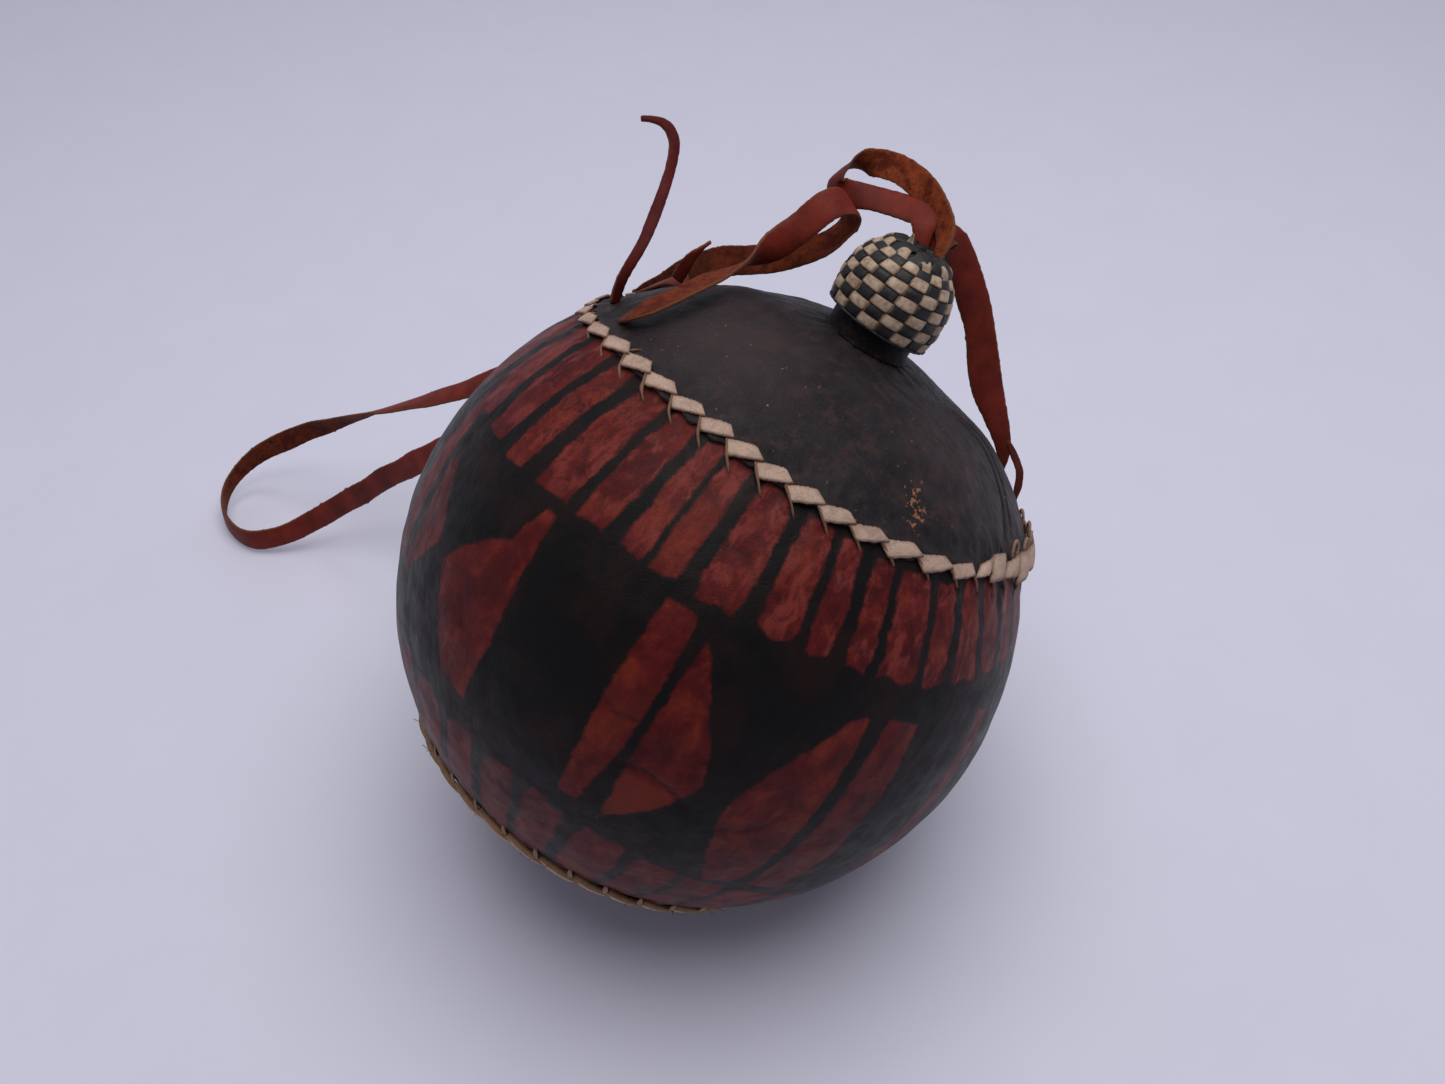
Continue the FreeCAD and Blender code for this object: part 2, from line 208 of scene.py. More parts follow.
def soft_step(value, low, high):
    share = np.clip((value - low) / (high - low), 0, 1)
    return share * share * (3 - 2 * share)


def new_piece(name, vertices, faces, attributes=None):
    mesh = bpy.data.meshes.new(name)
    mesh.from_pydata(np.asarray(vertices).reshape(-1, 3).tolist(), [],
                     [tuple(face) for face in faces])
    for key, values in (attributes or {}).items():
        layer = mesh.attributes.new(key, "FLOAT", "POINT")
        layer.data.foreach_set("value", np.asarray(values, np.float32).ravel())
    mesh.polygons.foreach_set("use_smooth", [True] * len(mesh.polygons))
    mesh.update()
    piece = bpy.data.objects.new(name, mesh)
    bpy.context.scene.collection.objects.link(piece)
    return piece


def grid_faces(rows, columns, wrap_rows=False):
    """Quads of rings of points, numbered ring by ring."""
    row = np.arange(rows if wrap_rows else rows - 1)
    r, c = np.meshgrid(row, np.arange(columns), indexing="ij")
    below = (r + 1) % rows
    right = (c + 1) % columns
    quads = np.stack([r * columns + c, r * columns + right,
                      below * columns + right, below * columns + c], -1)
    return quads.reshape(-1, 4).tolist()


def tube_faces(rows, count):
    """Faces of a tube of rings, closed at both ends."""
    faces = grid_faces(rows, count)
    faces.append(list(range(count))[::-1])
    faces.append([(rows - 1) * count + index for index in range(count)])
    return faces


def both_sides(upper, lower):
    """Rings that run out along the upper side of a strip and back along the lower one."""
    return np.concatenate([upper, lower[:, ::-1]], axis=1)


class Heap:
    """Collects many small shapes into one mesh, with their vertex attributes."""

    def __init__(self, *keys):
        self.points = []
        self.faces = []
        self.values = {key: [] for key in keys}
        self.count = 0

    def add(self, points, faces, **values):
        points = np.asarray(points).reshape(-1, 3)
        self.faces += [[index + self.count for index in face] for face in faces]
        self.points.append(points)
        for key, store in self.values.items():
            store.append(np.broadcast_to(np.asarray(values.get(key, 0.0)).ravel(), len(points)))
        self.count += len(points)

    def strip(self, upper, lower, **values):
        """Add a closed strip with points on both sides; its values are given for one side."""
        rings = both_sides(upper, lower)
        self.add(rings, tube_faces(*rings.shape[:2]),
                 **{key: both_sides(value, value) for key, value in values.items()})

    def piece(self, name):
        attributes = {key: np.concatenate(store) for key, store in self.values.items()}
        return new_piece(name, np.concatenate(self.points), self.faces, attributes)


def unit(vectors):
    return vectors / np.maximum(np.linalg.norm(vectors, axis=-1, keepdims=True), 1e-12)


def finish_piece(piece, body, slot, material, *nodes):
    """Give a piece its material and its body, and hide the CAD nodes that it stands for; the slot is
    not used.
    """
    piece.data.materials.clear()
    piece.data.materials.append(material)
    if body:
        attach(piece, body)
    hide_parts(*nodes)


# ---- materials ----------------------------------------------------------------------------
def scaled(colour, factor):
    return tuple(channel * factor for channel in colour)


class Finish:
    """A small helper to write node materials."""

    def __init__(self, name, specular, sheen=0.0):
        self.material = bpy.data.materials.new(name)
        self.material.use_nodes = True
        self.tree = self.material.node_tree
        self.shader = self.tree.nodes["Principled BSDF"]
        self.shader.inputs["Specular IOR Level"].default_value = specular
        self.shader.inputs["Sheen Weight"].default_value = sheen
        self.shader.inputs["Sheen Roughness"].default_value = 0.28
        self.place = self.node("ShaderNodeTexCoord").outputs["Object"]

    def node(self, kind, inputs=None, **settings):
        made = self.tree.nodes.new(kind)
        for key, value in settings.items():
            setattr(made, key, value)
        for key, value in (inputs or {}).items():
            self.set(made.inputs[key], value)
        return made

    def set(self, socket, value):
        if isinstance(value, bpy.types.NodeSocket):
            self.tree.links.new(value, socket)
        else:
            socket.default_value = value

    def stretched(self, ratio, tilt=0.0, turn=0.0):
        """Places drawn out along an axis that leans by tilt and is turned about the vertical."""
        return self.node("ShaderNodeMapping", {
            "Vector": self.place, "Rotation": (0, tilt, turn), "Scale": (1, 1, ratio)},
            vector_type="TEXTURE").outputs[0]

    def noise(self, size, detail=4.0, rough=0.6, bend=0.0, place=None):
        """Noise with lumps of a size in millimetres."""
        return self.node("ShaderNodeTexNoise", {
            "Vector": self.place if place is None else place, "Scale": 1 / (size * MM),
            "Detail": detail, "Roughness": rough, "Distortion": bend}).outputs["Fac"]

    def streaks(self, size, ratio, tilt=SEAM_TILT, turn=0.0):
        return self.noise(size, 6.0, 0.65, 0.3, self.stretched(ratio, tilt, turn))

    def pebbles(self, size):
        edges = self.node("ShaderNodeTexVoronoi", {
            "Vector": self.place, "Scale": 1 / (size * MM)}, feature="DISTANCE_TO_EDGE")
        return self.spread(edges.outputs["Distance"], 0.0, 0.25)

    def value(self, name, share=None):
        """A vertex attribute, scaled by a share if one is given."""
        found = self.node("ShaderNodeAttribute", attribute_name=name).outputs["Fac"]
        return found if share is None else self.times(found, share)

    def math(self, way, first, second=0.0, third=0.0):
        return self.node("ShaderNodeMath", {0: first, 1: second, 2: third},
                         operation=way).outputs[0]

    def times(self, first, second):
        return self.math("MULTIPLY", first, second)

    def layer(self, value, share, base):
        """A base with a share of another value on it."""
        return self.math("MULTIPLY_ADD", value, share, base)

    def spread(self, value, low, high, new_low=0.0, new_high=1.0):
        return self.node("ShaderNodeMapRange", {
            "Value": value, "From Min": low, "From Max": high, "To Min": new_low,
            "To Max": new_high}, interpolation_type="SMOOTHSTEP").outputs["Result"]

    def colours(self, value, *stops):
        ramp = self.node("ShaderNodeValToRGB", {"Fac": value})
        elements = ramp.color_ramp.elements
        while len(elements) < len(stops):
            elements.new(0.5)
        for element, (position, colour) in zip(elements, stops):
            element.position = position
            element.color = (*colour, 1)
        return ramp.outputs["Color"]

    def tones(self, value, base, low, high, middle=0.52):
        """A colour with a darker and a lighter tone, each given as its position and its factor."""
        return self.colours(value, (low[0], scaled(base, low[1])), (middle, base),
                            (high[0], scaled(base, high[1])))

    def mix(self, share, first, second):
        made = self.node("ShaderNodeMix", {"Factor": share}, data_type="RGBA")
        for socket, colour in ((made.inputs[6], first), (made.inputs[7], second)):
            self.set(socket, (*colour, 1) if isinstance(colour, tuple) else colour)
        return made.outputs[2]

    def finish(self, colour, height, depth, roughness):
        """Wire up the shader.  The bumps of the height are depth millimetres deep."""
        bump = self.node("ShaderNodeBump", {
            "Height": height, "Distance": depth * MM, "Strength": 0.8})
        self.set(self.shader.inputs["Base Color"], colour)
        self.set(self.shader.inputs["Roughness"], roughness)
        self.set(self.shader.inputs["Normal"], bump.outputs["Normal"])
        return self.material


BLACK_DYE = (0.0046, 0.0040, 0.0044)
BROWN_BLACK = (0.0140, 0.0062, 0.0058)
RED_DYE = (0.104, 0.0090, 0.0080)
DARK_RED = (0.042, 0.0036, 0.0050)
BRIGHT_RED = (0.210, 0.030, 0.012)
WORN_RED = (0.215, 0.036, 0.028)
VEIN = (0.030, 0.004, 0.008)
SCUFF = (0.34, 0.145, 0.070)


def leather_height(finish, size):
    """Fine pebbled grain with larger soft wrinkles."""
    grain = finish.layer(finish.pebbles(size), 0.22, finish.noise(0.35, 2))
    return finish.layer(finish.noise(3.0, 5), 1.6, grain)


def painted_leather():
    """Red dye inside a ragged outline, which the attribute dye gives in millimetres, on black."""
    finish = Finish("painted_leather", specular=0.13, sheen=0.10)
    edge = finish.layer(finish.math("SUBTRACT", finish.noise(3.5, 5), 0.5), 2.2, finish.value("dye"))
    edge = finish.layer(finish.math("SUBTRACT", finish.noise(0.8, 3), 0.5), 1.2, edge)
    blotch = finish.noise(11.0, 7, 0.62, 0.6)
    red = finish.colours(blotch, (0.32, DARK_RED), (0.52, RED_DYE), (0.74, BRIGHT_RED))
    streak = finish.spread(finish.streaks(3.0, 5.0), 0.42, 0.70, 0.0, 0.55)
    red = finish.mix(streak, red, DARK_RED)
    worn = finish.times(finish.spread(finish.streaks(5.0, 3.0), 0.46, 0.64), finish.value("upper"))
    red = finish.mix(finish.times(worn, 0.75), red, WORN_RED)
    red = finish.mix(finish.value("glow"), red, BRIGHT_RED)
    ridge = finish.math("ABSOLUTE", finish.math("SUBTRACT", finish.noise(8.0, 5, bend=1.2), 0.5))
    vein = finish.times(finish.spread(ridge, 0.030, 0.0), finish.value("cracked"))
    red = finish.mix(vein, red, VEIN)
    black = finish.colours(finish.noise(17.0, 5), (0.42, BLACK_DYE), (0.66, BROWN_BLACK))
    colour = finish.mix(finish.spread(edge, -0.60, 0.65), black, red)
    # Painted shade: a dark colour laid along the creases and the groove above the lower seam.
    colour = finish.mix(finish.value("line"), colour, (0.02, 0.007, 0.007))
    speck = finish.spread(finish.noise(0.55, 2), 0.73, 0.80, 0.0, 0.35)
    colour = finish.mix(speck, colour, (0.16, 0.075, 0.06))
    roughness = finish.spread(finish.noise(6.0, 4), 0.3, 0.7, 0.40, 0.56)
    return finish.finish(colour, leather_height(finish, 0.8), 0.17, roughness)


def black_leather(name="black_leather", base=(0.0150, 0.0122, 0.0138)):
    finish = Finish(name, specular=0.16, sheen=0.08)
    colour = finish.tones(finish.noise(14.0, 7, 0.65, 0.4), base, (0.34, 0.55), (0.72, 1.9))
    brown = finish.spread(finish.noise(6.0, 7, 0.7), 0.48, 0.66, 0.0, 0.8)
    colour = finish.mix(brown, colour, (0.044, 0.0220, 0.0225))
    scratch = finish.streaks(0.45, 9.0, math.radians(70), math.radians(-60))
    colour = finish.mix(finish.spread(scratch, 0.54, 0.72, 0.0, 0.6), colour, (0.050, 0.038, 0.040))
    colour = finish.mix(finish.value("blush"), colour, (0.07, 0.014, 0.013))
    # Painted sheen: two soft lighter patches on the top leather, standing in for the lamp's sheen.
    colour = finish.mix(finish.value("painted_sheen"), colour, (0.048, 0.034, 0.034))
    chips = finish.layer(finish.value("scuff"), 0.17, finish.noise(1.7, 4))
    colour = finish.mix(finish.spread(chips, 0.680, 0.740, 0.0, 0.8), colour, SCUFF)
    roughness = finish.spread(finish.noise(5.0, 4), 0.3, 0.7, 0.44, 0.62)
    return finish.finish(colour, leather_height(finish, 0.75), 0.24, roughness)


def pale_thong(name, base, dirt_and_shade, shade):
    """Rawhide, darker where its wear attribute says so, by a share: real dirt and stains, and painted
    shade on the upper lacing's stems.
    """
    finish = Finish(name, specular=0.35)
    blotch = finish.noise(4.0, 6, 0.65)
    colour = finish.tones(blotch, base, (0.35, 0.72), (0.78, 1.18), 0.55)
    colour = finish.mix(finish.spread(finish.noise(0.6), 0.45, 0.75, 0.0, 0.4), colour, dirt_and_shade)
    # Real stains, and painted shade on the upper lacing's stems.
    colour = finish.mix(finish.value("worn", shade), colour, dirt_and_shade)
    height = finish.layer(finish.noise(0.5, 3), 0.6, finish.noise(2.0))
    return finish.finish(colour, height, 0.22, finish.spread(blotch, 0.3, 0.7, 0.55, 0.75))


def strap_leather(name, grain=(0.165, 0.0200, 0.0115), flesh=(0.135, 0.0250, 0.0085)):
    """Smooth on the grain side and fuzzy on the flesh side, told apart by the face attribute."""
    finish = Finish(name, specular=0.12, sheen=0.05)
    smooth = finish.tones(finish.noise(7.0, 6, 0.62), grain, (0.32, 0.68), (0.75, 1.35))
    fuzzy = finish.tones(finish.noise(2.2, 7, 0.75), flesh, (0.34, 0.32), (0.70, 1.6), 0.48)
    spots = finish.spread(finish.noise(6.0, 4, 0.5), 0.50, 0.64, 0.0, 0.80)
    fuzzy = finish.mix(spots, fuzzy, (0.080, 0.0095, 0.0050))
    face = finish.value("face")
    colour = finish.mix(finish.spread(face, -0.35, 0.35), fuzzy, smooth)
    rim = finish.spread(finish.math("ABSOLUTE", face), 0.55, 0.05)
    colour = finish.mix(finish.times(rim, 0.75), colour, (0.16, 0.070, 0.035))
    colour = finish.mix(finish.value("worn", 0.35), colour, (0.035, 0.009, 0.008))
    height = finish.times(finish.noise(0.5, 4, 0.7), finish.spread(face, -0.3, 0.3, 1.0, 0.35))
    height = finish.layer(finish.noise(2.5), 0.7, height)
    return finish.finish(colour, height, 0.30, finish.spread(face, -0.3, 0.3, 0.85, 0.50))


def gourd_wood(name, base=(0.34, 0.19, 0.085)):
    finish = Finish(name, specular=0.3)
    blotch = finish.noise(5.0, 7, 0.65)
    streak = finish.noise(1.2, 5, place=finish.stretched(4.0))
    colour = finish.tones(blotch, base, (0.33, 0.5), (0.75, 1.4))
    colour = finish.mix(finish.spread(streak, 0.45, 0.7, 0.0, 0.6), colour, scaled(base, 0.35))
    height = finish.layer(streak, 0.6, blotch)
    return finish.finish(colour, height, 0.3, finish.spread(blotch, 0.3, 0.7, 0.6, 0.8))


def plait_black(name):
    finish = Finish(name, specular=0.45)
    blotch = finish.noise(2.5, 6)
    colour = finish.colours(blotch, (0.35, (0.004, 0.004, 0.0045)), (0.55, (0.0095, 0.0095, 0.0105)),
                            (0.75, (0.024, 0.023, 0.025)))
    height = finish.layer(finish.noise(0.35, 3), 0.5, blotch)
    return finish.finish(colour, height, 0.25, finish.spread(blotch, 0.3, 0.7, 0.45, 0.65))


def cap_cream(name):
    finish = Finish(name, specular=0.35)
    blotch = finish.noise(2.2, 7, 0.7)
    colour = finish.colours(blotch, (0.34, (0.26, 0.165, 0.105)), (0.52, (0.47, 0.345, 0.245)),
                            (0.72, (0.63, 0.50, 0.38)))
    # Darker by the wear attribute: real wear at edges and ends, and on the hoops painted shade where
    # they sink under the black strips.
    colour = finish.mix(finish.value("worn", 0.85), colour, (0.13, 0.070, 0.040))
    colour = finish.mix(finish.value("stain"), colour, (0.14, 0.018, 0.012))
    height = finish.layer(finish.noise(0.4, 3), 0.5, blotch)
    return finish.finish(colour, height, 0.2, finish.spread(blotch, 0.3, 0.7, 0.5, 0.7))


# ---- ball covers --------------------------------------------------------------------------
COLUMNS = 600
LEATHER = 1.5                                # millimetres
UPPER_SEAM = 40.9                            # latitude
LOWER_SEAM = -49.5
NECK_EDGE = 82.9
UPPER_STITCHES = 45
LOWER_STITCHES = 36
UPPER_PITCH = 360 / UPPER_STITCHES
LOWER_PITCH = 360 / LOWER_STITCHES
UPPER_PHASE = 2.2                            # longitude of the first stitch's lower hole
HOLE_BELOW = 37.0                            # latitudes of the holes of the upper lacing
HOLE_ABOVE = 44.2
HOLE_OFF_SEAM = 3.6                          # degrees from the lower seam to its lacing's holes
INNER_REST = 0.0013                          # lowest level of the leather's inside, in metres


def closed_cover(name, outer, inner, shift, attributes):
    """A leather cover: rows of latitudes outside, then rows inside, joined at both edges.

    shift gives the height and the latitude of each point.  Each attribute has its function of
    longitude and latitude, and its value on the inside.
    """
    lon, lat = np.meshgrid(np.linspace(0, 360, COLUMNS, endpoint=False),
                           np.concatenate([outer, inner]))
    outside = (np.arange(len(lat)) < len(outer))[:, None]
    height, lat = shift(lon, lat, outside)
    points = lean_to_neck(on_ball(lon, lat, np.where(outside, height, height - LEATHER)), lat)
    points[..., 2] = np.maximum(points[..., 2], np.where(outside, 0, INNER_REST))
    values = {key: np.where(outside, make(lon, lat), low)
              for key, (make, low) in attributes.items()}
    return new_piece(name, points, grid_faces(len(lat), COLUMNS, wrap_rows=True), values)


def lean_to_neck(points, lat):
    """Shift the leather near the neck towards the neck's own axis."""
    turn = soft_step(lat, 62, 80) * math.acos(NECK @ AXIS)
    lean = NECK - (NECK @ AXIS) * AXIS
    lean /= np.linalg.norm(lean)
    reach = points - CENTRE
    along, aside = reach @ AXIS, reach @ lean
    return (points + (along * (np.cos(turn) - 1) - aside * np.sin(turn))[..., None] * AXIS
            + (aside * (np.cos(turn) - 1) + along * np.sin(turn))[..., None] * lean)


def hand_drift(lon):
    """Degrees by which the upper lacing's holes stray from an even pitch."""
    return np.interp(np.mod(lon, 360), [150, 167, 190, 240, 257, 272, 284, 300],
                     [0, 3.0, 4.4, 0.2, 2.4, 0.6, -2.4, 0])


def puckers(lon, lat, seam_hole, pitch, phase, width=3.0):
    """Dimples at the lacing holes and the leather gathered between them."""
    beat = (lon - phase + pitch / 2) % pitch - pitch / 2
    along = (lat - seam_hole) * PER_DEGREE
    hole = bump_at(beat * round_scale(lat), 1.3) * bump_at(along, 1.3)
    folds = np.cos(2 * math.pi * beat / pitch) * bump_at(along, width * PER_DEGREE)
    return 0.28 * folds - 0.75 * hole


# Black lines between the red panels: longitude at the top and the foot of the panel, width.
UPPER_LINES = [
    (146.0, 147.0, 4.0), (157.0, 159.8, 2.5), (168.8, 169.1, 2.6), (178.3, 178.3, 3.3),
    (189.2, 189.3, 2.0), (198.3, 197.9, 2.5), (204.6, 204.7, 1.2), (211.9, 211.9, 2.7),
    (222.3, 222.6, 2.7), (230.9, 232.0, 1.9), (237.7, 239.3, 2.6), (244.8, 246.2, 1.9),
    (254.3, 256.2, 2.0), (262.0, 263.2, 2.5), (269.2, 273.2, 2.2), (278.4, 281.8, 2.4),
    (287.5, 290.0, 2.3)]
LOWER_LINES = [
    (151.0, 2.2), (162.0, 2.4), (172.0, 2.2), (184.2, 2.5), (194.7, 3.0), (205.0, 2.0),
    (216.3, 3.3), (229.2, 2.6), (239.7, 1.9), (250.5, 2.4), (262.5, 2.6), (272.0, 2.2)]
FIRST_HIDDEN = 299.0                          # the side that a front view doesn't show
LAST_HIDDEN = 500.0
DYE_LIMIT = 8                                 # millimetres beyond which the dye's edge is far away

# Outlines of the red shapes of the middle band.
MIDDLE_SHAPES = [
    [(150.5, 17), (155.4, 17), (156.9, 3), (156, -14), (151, -15)],
    [(158.9, 9.3), (160.8, 9.2), (164.4, 4.8), (167.8, 1.4), (169.2, -2.4), (166.7, -5.8),
     (163.9, -9.7), (160.4, -13), (158.6, -13), (160, -4.7), (159.2, 4.8)],
    [(185.8, 16.2), (188.1, 16.2), (188.9, 9.2), (189.5, 2.6), (190.1, -6.9), (189.2, -13.6),
     (188.8, -19.4), (181.4, -18.6), (178.3, -13.6), (175.6, -9.1), (172.7, -3.4), (175.6, 1.4),
     (180, 5.9), (183.9, 8.7), (185, 12.6)],
    [(210.6, 16.9), (216.4, 16.9), (217.1, 5), (216.8, -8), (215.6, -15), (214.8, -21),
     (211.2, -21), (210.3, -5), (210.3, 4)],
    [(219.2, 14.8), (222.8, 9.8), (225.8, 3.7), (228.3, -0.2), (230.4, -6.4), (229.4, -9.1),
     (226.1, -14.7), (221.7, -19.1), (219.5, -22.4), (218.8, -9.1), (218.6, -3), (218.8, 8.7)],
    [(249.4, 13.9), (249.7, -0.2), (249.4, -19.1), (248.3, -25.2), (242.8, -26.7),
     (240.6, -22.4), (238.3, -18), (236.7, -13.6), (235.6, -9.5), (236.1, -5.2), (238.3, -0.2),
     (240.6, 4.2), (243.9, 9.2), (245.6, 12), (248.3, 13.9)],
    [(253.3, 14.8), (259.7, 14.8), (260.1, 5.3), (259.8, -5.8), (260.5, -11.3), (259.7, -18),
     (259.2, -25), (251.9, -25), (251.5, -18), (252.2, -9.1), (252.3, 5.3), (252.8, 9.2)],
    [(277.2, 17.5), (282.2, 17.5), (281, 5), (279.6, -8), (277.5, -20), (273.5, -20),
     (274.7, -6), (275.8, 5)]]
# The group of three shapes that repeats on the hidden side, and where each group starts.
MOTIF_SHAPES = [
    [(0, 16), (6, 16), (6.5, 3), (6, -20), (0.4, -21), (-0.3, 0)],
    [(9, 14), (13, 8), (18.5, 0), (20, -5), (16, -13), (9.4, -21), (8.4, -8), (8.3, 4)],
    [(39, 15), (39.6, 3), (39.4, -12), (38, -23), (32, -24), (28, -17), (25.3, -8), (28, 0),
     (33, 8.5)]]
HIDDEN_MOTIFS = [294.0, 351.0, 412.0, 470.0]
MOTIF_LIMIT = 508.0                           # a shape that would pass this longitude is left out
BOTTOM_LINES = 10                             # black lines across the bottom leather's red ring

# Creases and strokes: longitude and latitude of their points, then width in millimetres and depth.
CREASES = [
    ([(217.5, -9.6), (222, -8.6), (226, -9.4), (230, -11)], 0.9, 0.40),
    ([(210, -1.2), (213, -2.4), (216.5, -1.8)], 0.8, 0.30),
    ([(213.5, 27.6), (216, 28.3), (219, 27.4), (221, 25.6)], 0.9, 0.30),
    ([(181, 29), (184, 26), (187, 22.5), (188, 20)], 1.0, 0.18),
    ([(236.5, -13), (240, -12), (243.5, -9), (245, -5)], 0.9, 0.28),
    ([(238, 25), (241, 23.5), (244, 23)], 1.0, 0.20),
    ([(170, 31.5), (174, 30.8), (177, 29.5)], 0.8, 0.25)]
GROOVE = [(236, -27.0), (243, -27.6), (252, -26.8), (266, -26.5)]
TOP_CREASES = [
    ([(284, 46), (290, 52), (294, 60), (293, 68)], 0.8, 0.55),
    ([(289, 46), (295, 53), (299, 61), (299, 70)], 0.7, 0.50),
    ([(236, 80), (252, 75), (262, 69), (268, 62)], 0.9, 0.35),
    ([(222, 79), (232, 73), (240, 66), (243, 61)], 1.0, 0.22),
    ([(150, 46.5), (153, 50), (152, 55)], 1.0, 0.35),
    ([(143, 46), (140, 50), (143, 54)], 1.0, 0.35)]


def segment_distance(x, y, end_x, end_y):
    """Distance to a segment that runs from the origin to its end."""
    share = np.clip((x * end_x + y * end_y) / (end_x ** 2 + end_y ** 2 + 1e-9), 0, 1)
    return np.hypot(x - share * end_x, y - share * end_y)


def polygon_distance(lon, lat, outline):
    """Millimetres inside an outline on the ball, negative outside."""
    corners = np.array(outline, float)
    middle = corners[:, 0].mean()
    scale = round_scale(lat)
    x = gap_between(lon, middle) * scale
    y = lat * PER_DEGREE
    near = np.full(lon.shape, 1e9)
    inside = np.zeros(lon.shape, bool)
    for (lon_a, lat_a), (lon_b, lat_b) in zip(corners, np.roll(corners, -1, 0)):
        ax, ay = (lon_a - middle) * scale, lat_a * PER_DEGREE
        bx, by = (lon_b - middle) * scale, lat_b * PER_DEGREE
        near = np.minimum(near, segment_distance(x - ax, y - ay, bx - ax, by - ay))
        side = x < ax + (y - ay) * (bx - ax) / (by - ay if by != ay else 1e-9)
        inside ^= ((ay > y) != (by > y)) & side
    return np.where(inside, near, -near)


def panel_foot(lon):
    """Latitude of the lower edge of the red panels."""
    turn = np.mod(lon, 360)
    rise = np.interp(turn, [0, 130, 172, 190, 215, 240, 257, 272, 290, 320, 360],
                     [19, 18, 17, 18.6, 19.4, 20.2, 20.8, 23.6, 26, 21, 19])
    return rise + 0.28 * wiggle(turn, 9, 31)


def black_edge(lon):
    """Latitude of the black edge above the red panels, under the lacing."""
    turn = np.mod(lon, 360)
    depth = np.interp(turn, [0, 150, 205, 222, 240, 258, 266, 300, 360],
                      [0.6, -1.2, -1.0, 0.8, 2.6, 2.6, 0.6, 0.2, 0.6])
    return 39.9 - depth


def hidden_lines(pitch, seed):
    """Lines of the side that isn't seen, at an uneven pitch."""
    rng = random.Random(seed)
    lines = []
    lon = FIRST_HIDDEN
    while lon < LAST_HIDDEN - pitch / 2:
        lean = rng.uniform(-1.5, 1.5)
        lines.append((lon + lean, lon - lean, rng.uniform(1.5, 3.2)))
        lon += pitch * rng.uniform(0.72, 1.28)
    return lines


def dye_distance(lon, lat):
    """Millimetres inside the red parts of the painted leather, negative in the black."""
    scale = round_scale(lat)
    wobble = 0.10 * wiggle(lat, 7, 5) + 0.08 * wiggle(lat + 3 * np.sin(np.radians(9 * lon)), 3, 6)
    panels = np.minimum(black_edge(lon) - lat, lat - panel_foot(lon)) * PER_DEGREE
    for index, (top, foot, width) in enumerate(UPPER_LINES + hidden_lines(8.5, 11)):
        share = np.clip((39 - lat) / 19, -0.1, 1.2)
        line = top + (foot - top) * share + 0.14 * wiggle(lat + 20 * index, 9, 7)
        flare = 1 + 0.35 * np.clip(np.abs(share - 0.5) * 2, 0, 1) ** 2
        away = np.abs(gap_between(lon, line)) - width * flare / 2
        panels = np.minimum(panels, away * scale)
    lower = (-25.4 - 1.2 * np.clip(gap_between(lon, 215) / 20, 0, 2)
             + 0.5 * wiggle(np.mod(lon, 360), 8, 8) - lat) * PER_DEGREE
    lower_lines = [(lon_at, lon_at, width) for lon_at, width in LOWER_LINES]
    for top, foot, width in lower_lines + hidden_lines(11, 12):
        line = (top + foot) / 2 + 0.3 * wiggle(lat + top, 11, 9)
        away = np.abs(gap_between(lon, line)) - width / 2
        rounding = 1.1 * np.clip((lat + 29) / 4, 0, 1)
        lower = np.minimum(lower, (away - rounding) * scale)
    red = np.maximum(panels, lower)
    shapes = list(MIDDLE_SHAPES)
    rng = random.Random(21)
    for start in HIDDEN_MOTIFS:
        for outline in MOTIF_SHAPES:
            shifted = [(start + x + rng.uniform(-0.5, 0.5), y + rng.uniform(-0.9, 0.9))
                       for x, y in outline]
            if max(x for x, _ in shifted) < MOTIF_LIMIT:
                shapes.append(shifted)
    for outline in shapes:
        red = np.maximum(red, polygon_distance(lon, lat, outline))
    return np.clip(red + wobble, -DYE_LIMIT, DYE_LIMIT)


def stroke_field(lon, lat, points, width):
    """1 on a stroke across the ball, falling to 0 beside it."""
    near = np.full(lon.shape, 1e9)
    scale = round_scale(lat)
    for (lon_a, lat_a), (lon_b, lat_b) in zip(points, points[1:]):
        near = np.minimum(near, segment_distance(
            gap_between(lon, lon_a) * scale, (lat - lat_a) * PER_DEGREE,
            (lon_b - lon_a) * scale, (lat_b - lat_a) * PER_DEGREE))
    return bump_at(near, width)


def lumps(lon, lat, seed, *sizes):
    """Soft unevenness of the ball: pairs of height and size in millimetres, one seed after another."""
    points = on_ball(lon, lat)
    return sum(height * waves(points, size, seed + index)
               for index, (height, size) in enumerate(sizes))


def creases(lon, lat, strokes):
    return sum(depth * stroke_field(lon, lat, stroke, width) for stroke, width, depth in strokes)


